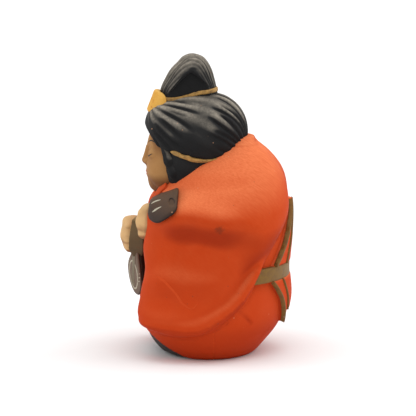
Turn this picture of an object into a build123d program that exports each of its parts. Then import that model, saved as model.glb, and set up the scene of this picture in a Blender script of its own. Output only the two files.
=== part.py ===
"""Seated lute player: a hollow clay doll, luted together from separately pressed clay pieces.

Millimetres, +Z up. The doll faces -Y and its own left side is at +X.
The origin is on the table, under the middle of the doll.
"""

import os

from build123d import *

# Driving dimensions
CLAY_WALL = 3.0  # thickness of the pressed robe and head shells
SLIP = 0.1  # film of slip between two luted pieces
SEAM_Y = 2.0  # plane where the front and back mould halves of the robe meet
FOOT_HALF_WIDTH, FOOT_HALF_DEPTH = 20.0, 17.0  # outline of the ring the doll stands on
FOOT_RING = 4.0  # width of that ring
VENT_RADIUS = 4.0  # firing vent through the base disc
BASE_RECESS = 0.6  # how far the base disc stands above the table
SASH_LOW, SASH_HIGH, SASH_RELIEF = 28.0, 33.6, 1.9
PLEAT_RELIEF = 2.3  # how far the folds of the back bow stand off the robe
TRIM_RELIEF, TRIM_WIDTH = 2.9, 1.7  # gold edges between the folds of the bow
BOW_WIDTHS = {"upper": (8.6, 16.8), "lower": (12.2, 18.4)}  # half widths of the folds at the sash
UPPER_TIP, UPPER_END = 57.0, 54.0  # heights the upper folds run towards and stop at
LOWER_TIP, CENTRE_TAIL_END, SIDE_TAIL_END = 0.0, 16.0, 12.0
COLLAR_RELIEF = 1.6
BAND_RELIEF, BAND_WIDTH = 0.8, 2.0  # hair cords: how far they stand off the hair, and their width
FAR = 80.0  # larger than the doll, for cutting blocks

# Level ovals of the robe: height, half width, front, back
ROBE_LEVELS = [
    (0.0, FOOT_HALF_WIDTH, -FOOT_HALF_DEPTH, FOOT_HALF_DEPTH),
    (4.0, 24.0, -20.5, 20.5),
    (10.0, 27.5, -23.5, 25.0),
    (19.0, 29.0, -24.6, 28.0),
    (31.0, 27.5, -23.0, 28.0),
    (45.0, 26.5, -21.0, 28.5),
    (58.0, 23.0, -18.5, 26.5),
    (68.0, 16.0, -14.0, 22.5),
    (73.0, 11.0, -9.0, 18.8),
    (76.5, 6.0, 0.0, 14.5),
]
# Level ovals of the left sleeve: height, middle x, middle y, half width, half depth
SLEEVE_LEVELS = [
    (9.0, 17.0, -9.0, 6.0, 8.0),
    (13.0, 19.0, -9.0, 10.0, 15.0),
    (22.0, 20.0, -7.0, 12.5, 18.5),
    (32.0, 19.0, -4.0, 13.0, 19.8),
    (42.0, 17.0, 0.5, 15.5, 24.2),
    (50.0, 15.0, 3.5, 17.0, 24.8),
    (58.0, 12.0, 5.0, 16.5, 23.5),
    (66.0, 8.0, 7.5, 13.5, 18.0),
    (74.0, 5.0, 9.0, 7.0, 10.0),
]
SLEEVE_TURN = 10.0  # how far each sleeve turns inwards at the front

# Middles and radii of the rounded forms of the head
HEAD = ((0.0, -7.0, 73.0), (13.5, 15.5, 15.5))
HAIR = ((0.0, -4.5, 77.5), (16.8, 18.3, 16.5))
NAPE = ((0.0, -1.5, 70.0), (13.8, 13.5, 10.5))
TOPKNOT = ((0.0, -7.2, 95.8), (7.6, 10.2, 12.2))
SIDE_LOCK = ((12.6, -13.2, 69.3), (2.2, 2.6, 6.6))
LEFT_HAND = ((12.0, -22.3, 48.6), (4.4, 3.7, 6.6))
RIGHT_HAND = ((-1.5, -27.4, 41.8), (5.2, 3.9, 6.8))
LEFT_WRIST, RIGHT_WRIST = (15.0, -14.0, 46.0), (-12.0, -18.0, 41.0)  # inner ends of the wrist pegs
FACE_OPENING = (11.9, 14.5, 68.0)  # half width, half height, height of its middle
PLAQUE_OUTLINE = [(-4.8, 89.5), (-3.6, 94.6), (3.6, 94.6), (4.8, 89.5), (3.0, 86.2), (-3.0, 86.2)]
KNOT_CORD_MIDDLE, KNOT_CORD_TILT = (-7.2, 92.2), 14.0  # the cord rises towards the back
NAPE_BAND_MIDDLE, NAPE_BAND_TILT, NAPE_BAND_FRONT = (-7.0, 73.2), 11.0, -13.2
TENON_RADIUS, TENON_LOW, TENON_HIGH = 3.0, 89.5, 95.0  # peg under the topknot, set in the hair
WRIST_RADIUS = 2.2

# The lute, in its own plane: x across, y towards the pegs, z out of the soundboard
LUTE_MIDDLE = (-2.0, -25.9, 26.6)
LUTE_NECK_END = (10.5, -24.8, 50.2)
LUTE_FACING = (0.38, -0.92, 0.0)
BOWL_RADIUS, BOWL_TOP_RADIUS, BOWL_LENGTH = 7.0, 2.3, 10.5
BOWL_DEPTH, BOARD_THICKNESS = 3.4, 0.9
NECK_WIDTH, NECK_DEPTH, NECK_PROUD = 3.8, 4.4, 2.6
PEGBOX_START, PEGBOX_END = (14.0, -22.6, 51.4), (21.6, -12.0, 58.2)
PEGBOX_FACING = (0.78, -0.42, 0.46)
PEGBOX_ROUNDS = [(3.0, 0.0, 3.3), (8.5, 0.0, 4.0), (14.0, 2.9, 1.4)]  # along, across and radius
PEGBOX_DEPTH, PEGBOX_PROUD = 3.4, 1.6  # how thick it is, and how much of that stands off its plane


def ball(form, grow=0.0):
    """A rounded form from its middle and three radii."""
    middle, radii = form
    return Pos(*middle) * scale(Sphere(1.0), by=tuple(radius + grow for radius in radii))


def mirrored(form):
    """The same rounded form on the doll's right."""
    (x, y, z), radii = form
    return ((-x, y, z), radii)


def robe_form(grow=0.0):
    """The whole outer form of the robe under the sleeves."""
    ovals = []
    for height, half_width, front, back in ROBE_LEVELS:
        middle, half_depth = (front + back) / 2, (back - front) / 2
        ovals.append(Pos(0, middle, height) * Ellipse(half_width + grow, half_depth + grow))
    return loft(ovals)


def sleeve_form(side, grow=0.0):
    """The outer form of one sleeve with its shoulder; side is 1 for the left."""
    ovals = []
    for height, across, middle, half_width, half_depth in SLEEVE_LEVELS:
        place = Pos(side * across, middle, height) * Rot(0, 0, -side * SLEEVE_TURN)
        ovals.append(place * Ellipse(half_width + grow, half_depth + grow))
    return loft(ovals)


def slab(low, high):
    """A level block between two heights."""
    return Pos(0, 0, (low + high) / 2) * Box(2 * FAR, 2 * FAR, high - low)


def block(x_low, x_high, y_low, y_high):
    """An upright block between four planes."""
    place = Pos((x_low + x_high) / 2, (y_low + y_high) / 2, FAR / 2)
    return place * Box(x_high - x_low, y_high - y_low, 3 * FAR)


def curtain(outline, y_low, y_high):
    """An outline drawn on the x-z plane, drawn out along y."""
    face = make_face(Polyline(*[(x, y_high, z) for x, z in outline], close=True))
    return extrude(face, amount=y_high - y_low, dir=(0, -1, 0))


def arch_block():
    """The low arch at the front of the hem where the dark under-robe shows."""
    half_width, top = 17.5, 6.6
    arch = Rot(90, 0, 0) * Ellipse(half_width, top)
    return extrude(arch, amount=FAR, dir=(0, -1, 0)) & block(-FAR, FAR, -FAR, -6.0)


def lute_plane():
    """The plane of the lute's soundboard, with its y axis along the neck."""
    along = (Vector(*LUTE_NECK_END) - Vector(*LUTE_MIDDLE)).normalized()
    facing = Vector(*LUTE_FACING)
    facing = (facing - along * facing.dot(along)).normalized()
    return Plane(origin=LUTE_MIDDLE, x_dir=along.cross(facing), z_dir=facing)


def pegbox_plane():
    """The plane of the pegbox, bent back over the left shoulder, with its x axis along it."""
    along = (Vector(*PEGBOX_END) - Vector(*PEGBOX_START)).normalized()
    facing = Vector(*PEGBOX_FACING)
    facing = (facing - along * facing.dot(along)).normalized()
    return Plane(origin=PEGBOX_START, x_dir=along, z_dir=facing)


def leaf(grow=0.0):
    """The leaf-shaped outline of the pegbox."""
    rounds = [Pos(along, across) * Circle(radius + grow) for along, across, radius in PEGBOX_ROUNDS]
    return make_hull([edge for disc in rounds for edge in disc.edges()])


def neck_length():
    """From the middle of the bowl to the top of the neck."""
    return (Vector(*LUTE_NECK_END) - Vector(*LUTE_MIDDLE)).length


def pear(grow=0.0):
    """The pear-shaped outline of the lute's body."""
    bottom = Circle(BOWL_RADIUS + grow)
    top = Pos(0, BOWL_LENGTH) * Circle(BOWL_TOP_RADIUS + grow)
    return make_hull(bottom.edges() + top.edges())


def lute_parts():
    """Bowl, soundboard, neck and pegbox of the lute, each in the doll's own frame."""
    plane = lute_plane()
    bowl = loft([pear(), Pos(0, 0, -0.6 * BOWL_DEPTH) * pear(-0.5), Pos(0, 0, -BOWL_DEPTH) * pear(-1.9)])
    board = extrude(pear(), amount=BOARD_THICKNESS)
    neck_low, neck_high = 0.8 * BOWL_LENGTH, neck_length()
    neck_place = Pos(0, (neck_low + neck_high) / 2, NECK_PROUD - NECK_DEPTH / 2)
    neck = neck_place * Box(NECK_WIDTH, neck_high - neck_low, NECK_DEPTH)
    neck = fillet(neck.edges().filter_by(Axis.Y), 1.1)
    neck -= bowl + board
    pegbox = loft([leaf(), Pos(0, 0, 0.55 * PEGBOX_DEPTH) * leaf(), Pos(0, 0, PEGBOX_DEPTH) * leaf(-1.0)])
    pegbox = pegbox_plane() * Pos(0, 0, PEGBOX_PROUD - PEGBOX_DEPTH) * pegbox
    return {
        "lute_bowl": plane * bowl,
        "lute_soundboard": plane * board,
        "lute_neck": plane * neck,
        "lute_pegbox": pegbox - plane * neck,
    }


def head_parts():
    """Head shell, hair, topknot, cords and ornament."""
    skull, cap, bun = ball(HEAD), ball(HAIR), ball(TOPKNOT)
    half_width, half_height, middle = FACE_OPENING
    opening = Pos(0, 0, middle) * Rot(90, 0, 0) * Ellipse(half_width, half_height)
    opening = extrude(opening, amount=FAR, dir=(0, -1, 0))
    hollow = ball(HEAD, -CLAY_WALL) + Pos(0, -2, 56) * Cylinder(6.0, 12.0)
    tenon_place = Pos(0, TOPKNOT[0][1], (TENON_LOW + TENON_HIGH) / 2)
    tenon = tenon_place * Cylinder(TENON_RADIUS, TENON_HIGH - TENON_LOW)
    socket = tenon_place * Cylinder(TENON_RADIUS + SLIP, TENON_HIGH - TENON_LOW + 2 * SLIP)
    lock = ball(SIDE_LOCK) - ball(HEAD, SLIP)
    lock_forms = ball(SIDE_LOCK, SLIP) + ball(mirrored(SIDE_LOCK), SLIP)

    band_place = Pos(0, *NAPE_BAND_MIDDLE) * Rot(-NAPE_BAND_TILT, 0, 0)
    above_band = band_place * Pos(0, 0, FAR) * Box(2 * FAR, 2 * FAR, 2 * FAR)
    hair = cap + ball(NAPE) - opening - ball(HEAD, SLIP) - lock_forms - socket
    band = ball(HAIR, BAND_RELIEF) & band_place * Box(FAR, FAR, BAND_WIDTH)
    band = (band & block(-FAR, FAR, NAPE_BAND_FRONT, FAR)) - ball(HAIR, SLIP) - lock_forms
    band = band - robe_form(SLIP) - sleeve_form(1, SLIP) - sleeve_form(-1, SLIP)

    cord_slab = Pos(0, *KNOT_CORD_MIDDLE) * Rot(KNOT_CORD_TILT, 0, 0) * Box(FAR, FAR, BAND_WIDTH)
    cord = (ball(TOPKNOT, BAND_RELIEF) & cord_slab) - bun - ball(HAIR, SLIP)
    plaque = curtain(PLAQUE_OUTLINE, -30.0, -11.0)
    plaque_skin = ball(TOPKNOT, 1.6) + ball(HAIR, 1.5)
    ornament = (plaque & plaque_skin) - ball(TOPKNOT, BAND_RELIEF + SLIP) - ball(HAIR, SLIP)
    return {
        "head_shell": skull - hollow,
        "hair_cap": hair & above_band,
        "nape_hair": hair - above_band,
        "nape_cord": band,
        "topknot": (bun - ball(HAIR, SLIP)) + tenon,
        "topknot_cord": cord - plaque,
        "hair_ornament": ornament,
        "left_side_lock": lock,
        "right_side_lock": mirror(lock, about=Plane.YZ),
    }


def head_space():
    """Everything that the head takes out of the robe where it is set in."""
    lock_forms = ball(SIDE_LOCK, SLIP) + ball(mirrored(SIDE_LOCK), SLIP)
    return ball(HEAD, SLIP) + ball(HAIR, SLIP) + ball(NAPE, SLIP) + lock_forms


def robe_relief(relief):
    """The skin of the robe, as a layer of that thickness outside it."""
    return robe_form(relief) - robe_form(SLIP)


def fan(x_low, x_high, sash_edge, tip, end):
    """A strip of the bow: two edges leave the sash at two widths and run towards one tip."""
    narrowing = (end - tip) / (sash_edge - tip)
    corners = [(x_low, sash_edge), (x_high, sash_edge)]
    corners += [(narrowing * x_high, end), (narrowing * x_low, end)]
    return curtain(corners, 0.0, 40.0)


def back_bow(sleeves):
    """The pleats above the sash, the tails below it and the gold trims between them."""
    pleat_skin = robe_relief(PLEAT_RELIEF) - sleeves
    trim_skin = robe_relief(TRIM_RELIEF) - sleeves
    parts = {}
    for place, fold, sash_edge, tip, centre_end, side_end in (
        ("upper", "pleat", SASH_HIGH, UPPER_TIP, UPPER_END, UPPER_END),
        ("lower", "tail", SASH_LOW, LOWER_TIP, CENTRE_TAIL_END, SIDE_TAIL_END),
    ):
        inner, outer = BOW_WIDTHS[place]
        centre = fan(-inner, inner, sash_edge, tip, centre_end)
        parts[f"{place}_centre_{fold}"] = centre & pleat_skin
        trims = []
        for side, name in ((1, "left"), (-1, "right")):
            fold_edges = sorted((side * (inner + TRIM_WIDTH + SLIP), side * outer))
            side_fold = fan(*fold_edges, sash_edge, tip, side_end)
            parts[f"{place}_{name}_{fold}"] = side_fold & pleat_skin
            for start, end in ((inner, centre_end), (outer, side_end)):
                trim_edges = sorted((side * (start + SLIP), side * (start + TRIM_WIDTH)))
                trim = fan(*trim_edges, sash_edge, tip, end)
                trims.extend((trim & trim_skin).solids())
        parts[f"{place}_gold_trim"] = Compound(children=trims)
    return parts


def robe_parts(lute, hands):
    """Robe shells, base disc, sleeves, collars, sash and bow."""
    held = lute + hands
    form, head = robe_form(), head_space()
    hollow = robe_form(-CLAY_WALL) & slab(CLAY_WALL + BASE_RECESS, 70.0)
    foot_opening = Ellipse(FOOT_HALF_WIDTH - FOOT_RING, FOOT_HALF_DEPTH - FOOT_RING)
    foot_opening = Pos(0, 0, -1) * extrude(foot_opening, amount=8.0)
    shell = form - hollow - foot_opening - head - held
    under_hem = shell & arch_block()
    shell -= arch_block()
    disc = extrude(Ellipse(FOOT_HALF_WIDTH - FOOT_RING - SLIP, FOOT_HALF_DEPTH - FOOT_RING - SLIP), amount=2.8)
    disc = Pos(0, 0, BASE_RECESS) * disc - Cylinder(VENT_RADIUS, 20.0)

    parts = {
        "robe_front_shell": shell & block(-FAR, FAR, -FAR, SEAM_Y),
        "robe_back_shell": shell & block(-FAR, FAR, SEAM_Y, FAR),
        "under_hem_panel": under_hem,
        "base_disc": disc,
    }
    sleeves = {}
    for side, name in ((1, "left_sleeve"), (-1, "right_sleeve")):
        half = block(SLIP / 2, FAR, -FAR, FAR) if side > 0 else block(-FAR, -SLIP / 2, -FAR, FAR)
        sleeves[name] = (sleeve_form(side) & half) - robe_form(SLIP) - head - held
    parts.update(sleeves)
    sleeve_space = sleeve_form(1, SLIP) + sleeve_form(-1, SLIP)
    sash = (robe_relief(SASH_RELIEF) & slab(SASH_LOW + SLIP, SASH_HIGH - SLIP)) - sleeve_space
    parts["sash"] = sash & block(-FAR, FAR, 0.0, FAR)
    collar_skin = robe_relief(COLLAR_RELIEF)
    for side, name in ((1, "left_collar"), (-1, "right_collar")):
        outline = [(side * x, z) for x, z in ((0.2, 46.0), (0.2, 50.0), (8.0, 62.0), (12.0, 62.0))]
        band = curtain(outline, -40.0, -8.0) & collar_skin
        parts[name] = band - head - held - sleeve_space
    parts.update(back_bow(sleeve_space))
    return parts


def hand_parts(lute):
    """Both hands with their wrist pegs, closed round the lute."""
    parts = {}
    for name, form, wrist in (
        ("left_hand", LEFT_HAND, LEFT_WRIST),
        ("right_hand", RIGHT_HAND, RIGHT_WRIST),
    ):
        start, end = Vector(*form[0]), Vector(*wrist)
        place = Plane(origin=start, z_dir=end - start)
        length = (end - start).length
        hand = ball(form) + place * Pos(0, 0, length / 2) * Cylinder(WRIST_RADIUS, length)
        parts[name] = hand - lute
    return parts


def main():
    os.makedirs("parts", exist_ok=True)
    lute = lute_parts()
    lute_space = Part() + list(lute.values())
    hands = hand_parts(lute_space)
    hand_space = Part() + list(hands.values())
    pieces = {**lute, **hands, **head_parts(), **robe_parts(lute_space, hand_space)}
    for name, piece in pieces.items():
        piece.label = name
        export_step(piece, os.path.join("parts", name + ".step"))


main()
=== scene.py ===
"""Looks of the seated lute player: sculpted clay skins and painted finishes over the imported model."""

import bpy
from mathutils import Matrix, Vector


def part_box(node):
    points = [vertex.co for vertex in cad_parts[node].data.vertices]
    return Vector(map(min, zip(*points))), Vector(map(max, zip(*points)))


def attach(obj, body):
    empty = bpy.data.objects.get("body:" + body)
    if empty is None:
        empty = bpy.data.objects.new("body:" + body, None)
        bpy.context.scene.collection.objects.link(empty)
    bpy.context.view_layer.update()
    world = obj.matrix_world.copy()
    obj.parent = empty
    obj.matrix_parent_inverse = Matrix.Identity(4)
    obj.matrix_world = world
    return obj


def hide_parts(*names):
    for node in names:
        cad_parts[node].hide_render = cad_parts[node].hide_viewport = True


bl_info = {
    "name": "Clay lute player",
    "version": (1, 0, 0),
    "blender": (4, 5, 0),
    "location": "View3D > Sidebar > Doll",
    "description": "Sculpts and paints each clay piece of a seated lute player doll",
    "category": "Object",
}

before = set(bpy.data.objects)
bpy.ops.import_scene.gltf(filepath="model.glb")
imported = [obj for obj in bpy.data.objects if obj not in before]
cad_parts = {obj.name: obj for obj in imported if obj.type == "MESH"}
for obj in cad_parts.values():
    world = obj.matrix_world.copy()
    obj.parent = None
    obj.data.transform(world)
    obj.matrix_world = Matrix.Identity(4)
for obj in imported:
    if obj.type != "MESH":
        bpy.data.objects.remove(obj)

import math

import bmesh
import bpy
import mathutils
import numpy as np
from bpy.props import FloatProperty, FloatVectorProperty, IntProperty, PointerProperty

MM = 0.001
DESIGN_HEIGHT = 108.0  # the height, in millimetres, that the sizes below are written for
CRISP = math.radians(36.0)  # edges that turn by more than this aren't smoothed over


# Places, from the frame

def room(*nodes):
    """Lowest and highest corner of some CAD nodes together, in millimetres."""
    corners = np.array([[tuple(c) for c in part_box(n)] for n in nodes]) / MM
    return corners[:, 0].min(axis=0), corners[:, 1].max(axis=0)


WHOLE_LOW, WHOLE_HIGH = room(*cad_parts)
UNIT = (WHOLE_HIGH[2] - WHOLE_LOW[2]) / DESIGN_HEIGHT
FOOT = np.array([(WHOLE_LOW[0] + WHOLE_HIGH[0]) / 2, 0.0, WHOLE_LOW[2]])
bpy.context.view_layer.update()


def at(x, y, z):
    """A place on the doll, from the middle of its foot, with the doll's own left at +x."""
    return FOOT + UNIT * np.array([x, y, z])


def spot(node, x, y, z):
    """A place in a CAD node's box, by shares of its width, depth and height."""
    low, high = room(node)
    return low + (high - low) * np.array([x, y, z])


def measured(places):
    """How far places lie across, behind and above the middle of the foot, in design millimetres."""
    return np.moveaxis((places - FOOT) / UNIT, -1, 0)


def flip(places):
    """The same places on the doll's other side."""
    return np.concatenate([2 * FOOT[0] - places[..., :1], places[..., 1:]], axis=-1)


def long(gaps):
    """Lengths of some gaps."""
    return np.sqrt((gaps ** 2).sum(axis=-1))


def even(gaps):
    """Gaps brought to a length of one."""
    return gaps / np.maximum(long(gaps), 1e-9)[..., None]


# Clay forms: each is a function of places that is negative inside the clay

def ease(value, start, end):
    """0 before start, 1 after end, and smooth between them."""
    share = np.clip((value - start) / (end - start), 0.0, 1.0)
    return share * share * (3.0 - 2.0 * share)


def join(a, b, soft):
    """Clay a and clay b together, with a fillet of about that size in design millimetres."""
    soft = soft * UNIT
    overlap = np.maximum(soft - np.abs(a - b), 0.0) / soft
    return np.minimum(a, b) - overlap * overlap * soft * 0.25


def meet(a, b, soft):
    """What clay a and clay b share, with its edge rounded."""
    return -join(-a, -b, soft)


def carve(a, b, soft):
    """Clay a with b taken out of it."""
    return meet(a, -b, soft)


def blob(places, middle, radii):
    """An egg-shaped lump."""
    share = (places - middle) / radii
    reach = long(share)
    depth = reach * (reach - 1.0) / np.maximum(long(share / radii), 1e-6)
    return np.where(reach < 1e-3, -np.min(radii), depth)


def rod(places, start, end, thick, thin=None):
    """A rolled sausage of clay from start to end."""
    thin = thick if thin is None else thin
    along = end - start
    share = np.clip(((places - start) @ along) / (along @ along), 0.0, 1.0)
    return long(places - start - share[..., None] * along) - UNIT * (thick + (thin - thick) * share)


def rope(places, knots, radii, soft=0.3):
    """A chain of rods through some knots, each knot with its own radius."""
    form = None
    for index in range(len(knots) - 1):
        piece = rod(places, knots[index], knots[index + 1], radii[index], radii[index + 1])
        form = piece if form is None else join(form, piece, soft)
    return form


def through(stations, values, where):
    """A smooth curve through some values, read at many stations."""
    stations = np.asarray(stations, float)
    values = np.asarray(values, float)
    slopes = np.gradient(values, stations)
    where = np.clip(where, stations[0], stations[-1])
    index = np.clip(np.searchsorted(stations, where, side="right") - 1, 0, len(stations) - 2)
    span = stations[index + 1] - stations[index]
    t = (where - stations[index]) / span
    rise = values[index + 1] - values[index]
    start = slopes[index] * span
    end = slopes[index + 1] * span
    return values[index] + t * (start + t * (3 * rise - 2 * start - end + t * (start + end - 2 * rise)))


def ovals(places, levels, turn=0.0, soft=1.0):
    """A lump thrown from level ovals: height, middle across, middle deep, half width, half depth."""
    levels = np.asarray(levels, float)
    height = places[..., 2]
    across, deep, wide, long = (through(levels[:, 0], levels[:, k], height) for k in (1, 2, 3, 4))
    dx = places[..., 0] - across
    dy = places[..., 1] - deep
    c, s = math.cos(turn), math.sin(turn)
    u = (c * dx + s * dy) / wide
    v = (-s * dx + c * dy) / long
    reach = np.sqrt(u * u + v * v)
    slope = np.sqrt((u / wide) ** 2 + (v / long) ** 2)
    side = np.where(reach < 1e-3, -np.minimum(wide, long), reach * (reach - 1.0) / np.maximum(slope, 1e-6))
    ends = np.maximum(levels[0, 0] - height, height - levels[-1, 0])
    return meet(side, ends, soft)


def scaled(levels):
    """Level ovals written in design millimetres, set on the frame; x is left as a plain distance."""
    rows = np.asarray(levels, float) * UNIT
    rows[:, 0] += FOOT[2]
    rows[:, 2] += FOOT[1]
    return rows


def egg(middle, radii):
    """An egg-shaped lump as a form of its own, at a place on the doll."""
    return lambda places: blob(places, at(*middle), UNIT * np.array(radii))


def stick(start, end, thick, thin=None):
    """A rolled sausage as a form of its own, between two places on the doll."""
    return lambda places: rod(places, at(*start), at(*end), thick, thin)


def worked(places, form, steps):
    """A form with lumps joined on or carved out, one after another."""
    for tool, lump, soft in steps:
        form = tool(form, lump(places), soft)
    return form


# From a form to a mesh

CUBE = np.array([(i, j, k) for i in (0, 1) for j in (0, 1) for k in (0, 1)])
CUBE_EDGES = [(a, b) for a in range(8) for b in range(a + 1, 8) if np.abs(CUBE[a] - CUBE[b]).sum() == 1]


def steepness(places, form, step):
    """Which way the form's value rises fastest."""
    rise = np.empty_like(places)
    for axis in range(3):
        nudge = np.zeros(3)
        nudge[axis] = step
        rise[..., axis] = (form(places + nudge) - form(places - nudge)) / (2 * step)
    return rise


def settle(places, form, step, rounds=4):
    """Moves places onto the form's surface."""
    for _ in range(rounds):
        rise = steepness(places, form, 0.2 * step)
        move = -(form(places) / np.maximum((rise ** 2).sum(axis=-1), 0.05))[..., None] * rise
        places = places + move * np.minimum(1.0, 0.7 * step / np.maximum(long(move), 1e-9))[..., None]
    return places


def skin(form, low, high, step):
    """Points and four-sided faces of a form's surface inside a box."""
    axes = [np.arange(a - 2 * step, b + 3 * step, step) for a, b in zip(low, high)]
    counts = [len(a) for a in axes]
    value = np.empty(counts)
    for index, x in enumerate(axes[0]):
        sheet = np.stack(np.meshgrid([x], axes[1], axes[2], indexing="ij"), axis=-1)[0]
        value[index] = form(sheet)
    inside = value < 0.0
    corners = np.stack([inside[i:counts[0] - 1 + i, j:counts[1] - 1 + j, k:counts[2] - 1 + k]
                        for i, j, k in CUBE])
    filled = corners.sum(axis=0)
    cells = np.argwhere((filled > 0) & (filled < 8))
    total = np.zeros((len(cells), 3))
    crossings = np.zeros(len(cells))
    for a, b in CUBE_EDGES:
        va = value[tuple((cells + CUBE[a]).T)]
        vb = value[tuple((cells + CUBE[b]).T)]
        crossed = (va < 0) != (vb < 0)
        share = np.where(crossed, va / np.where(va == vb, 1.0, va - vb), 0.0)
        total += crossed[:, None] * (CUBE[a] + share[:, None] * (CUBE[b] - CUBE[a]))
        crossings += crossed
    points = np.array([a[0] for a in axes]) + step * (cells + total / crossings[:, None])
    number = np.full([c - 1 for c in counts], -1)
    number[tuple(cells.T)] = np.arange(len(cells))
    faces = []
    for axis in range(3):
        b, c = [(1, 2), (0, 2), (0, 1)][axis]
        ahead = [slice(None)] * 3
        behind = [slice(None)] * 3
        ahead[axis], behind[axis] = slice(1, None), slice(None, -1)
        found = np.argwhere(inside[tuple(ahead)] != inside[tuple(behind)])
        found = found[(found[:, b] > 0) & (found[:, c] > 0)]
        found = found[(found[:, b] < counts[b] - 1) & (found[:, c] < counts[c] - 1)]
        ring = []
        for db, dc in ((1, 1), (0, 1), (0, 0), (1, 0)):
            cell = found.copy()
            cell[:, b] -= db
            cell[:, c] -= dc
            ring.append(number[tuple(cell.T)])
        quad = np.stack(ring, axis=-1)
        outward = inside[tuple(found.T)]
        if axis == 1:
            outward = ~outward
        quad[~outward] = quad[~outward][:, ::-1]
        faces.append(quad)
    faces = np.concatenate(faces)
    faces = faces[(faces >= 0).all(axis=1)]
    return settle(points, form, step), faces


def build(name, points, faces, material, masks=None):
    """A smooth mesh object from points in millimetres, with any masks as point attributes."""
    mesh = bpy.data.meshes.new(name)
    mesh.vertices.add(len(points))
    mesh.vertices.foreach_set("co", (points * MM).astype(np.float32).ravel())
    sizes = np.array([len(f) for f in faces], np.int32)
    mesh.loops.add(int(sizes.sum()))
    mesh.loops.foreach_set("vertex_index", np.concatenate([np.asarray(f, np.int32) for f in faces]))
    mesh.polygons.add(len(faces))
    mesh.polygons.foreach_set("loop_start", np.concatenate([[0], np.cumsum(sizes)[:-1]]).astype(np.int32))
    mesh.polygons.foreach_set("loop_total", sizes)
    mesh.polygons.foreach_set("use_smooth", np.ones(len(faces), bool))
    mesh.update(calc_edges=True)
    for mask, values in (masks or {}).items():
        layer = mesh.attributes.new(mask, "FLOAT", "POINT")
        layer.data.foreach_set("value", values.astype(np.float32))
    mesh.set_sharp_from_angle(angle=CRISP)
    mesh.materials.append(material)
    piece = bpy.data.objects.new(name, mesh)
    bpy.context.scene.collection.objects.link(piece)
    return piece


def keep(piece, slot, nodes=()):
    """Sets a finished piece on the doll in place of its CAD nodes."""
    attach(piece, "root")
    if nodes:
        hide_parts(*nodes)
    return piece


def hollows(points, normals, form, reach):
    """1 on open clay and less in folds and hollows, read a little way off the surface."""
    return np.clip(form(points + normals * reach) / reach, 0.0, 1.2) / 1.2


def facing(points, form, step):
    """Outward directions of a form's surface at some points."""
    return even(steepness(points, form, 0.3 * step))


def sculpt(name, form, step, finish_name, around, shape, spare=(2.0, 2.0), nodes=None, box=None, slot=None):
    """One clay piece: skin the form, press tool marks into it, and note where painted highlight, painted shade and
    wear go.
    """
    nodes = nodes or [name]
    low, high = room(*(box or nodes))
    low, high = low - UNIT * np.array(spare[0]), high + UNIT * np.array(spare[1])
    step = step * UNIT
    points, faces = skin(form, low, high, step)
    normals = facing(points, form, step)
    push, wear_and_light = shape(points, normals)
    points = points + normals * push[:, None]
    # The open mask is low in folds and hollows, where the finish lays in painted shade
    open_clay = hollows(points, facing(points, around, step), around, 2.2)
    masks = {"wear_and_light": wear_and_light, "open": open_clay}
    keep(build(name + "_clay", points, faces, FINISHES[finish_name], masks), slot or finish_name, nodes)


def on_surface(path, form, spacing):
    """A path resampled evenly and laid on a form."""
    path = np.asarray(path, float)
    station = np.concatenate([[0.0], np.cumsum(long(np.diff(path, axis=0)))])
    count = max(int(station[-1] / spacing) + 1, 4)
    stops = np.linspace(0.0, station[-1], count)
    line = np.stack([through(station, path[:, k], stops) for k in range(3)], axis=-1)
    return settle(line, form, 1.5, rounds=5), stops / station[-1]


ACROSS = [(-1.0, -0.6), (-0.94, 0.35), (-0.7, 0.85), (-0.3, 1.0), (0.3, 1.0), (0.7, 0.85), (0.94, 0.35),
          (1.0, -0.6)]


def stripe(path, half_width, proud, form, spacing, ends, ragged, seed, sunk=0.5):
    """A raised stripe of paint or clay that follows a form along a path: points and faces."""
    line, share = on_surface(path, form, spacing)
    side = even(np.cross(facing(line, form, 1.0), np.gradient(line, axis=0)))
    chance = np.random.default_rng(seed)
    count, wide = len(line), len(ACROSS)
    taper = np.sqrt(np.clip(np.minimum(share / ends[0], (1 - share) / ends[1]), 0.02, 1.0))
    widths = UNIT * (half_width(share) if callable(half_width) else np.full(count, half_width))
    rows = []
    for across, up in ACROSS:
        wobble = 1.0 + ragged * np.convolve(chance.normal(size=count + 4), np.ones(5) / 2.2, "valid") * abs(across)
        row = settle(line + side * (across * widths * taper * wobble)[:, None], form, 1.0, rounds=3)
        rows.append(row + facing(row, form, 1.0) * UNIT * (proud * up if up > 0 else -sunk))
    faces = []
    for i in range(count - 1):
        for j in range(wide):
            k = (j + 1) % wide
            faces.append((i * wide + j, (i + 1) * wide + j, (i + 1) * wide + k, i * wide + k))
    faces.append(tuple(range(wide)))
    faces.append(tuple((count - 1) * wide + j for j in reversed(range(wide))))
    return np.stack(rows, axis=1).reshape(-1, 3), faces


def paint(name, parts, finish_name, slot=None, nodes=()):
    """One painted piece made of stripes, with its faces turned outwards."""
    points = np.concatenate([some for some, _ in parts])
    faces, start = [], 0
    for some, rings in parts:
        faces.extend(tuple(v + start for v in ring) for ring in rings)
        start += len(some)
    masks = {"wear_and_light": np.full(len(points), 0.5), "open": np.ones(len(points))}
    piece = build(name + "_paint", points, faces, FINISHES[finish_name], masks)
    with_shell(piece, lambda shell: bmesh.ops.recalc_face_normals(shell, faces=shell.faces))
    keep(piece, slot or finish_name, nodes)


def with_shell(piece, work):
    """Does some work on a piece's mesh."""
    shell = bmesh.new()
    shell.from_mesh(piece.data)
    work(shell)
    shell.to_mesh(piece.data)
    shell.free()


# The doll's own forms

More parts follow.
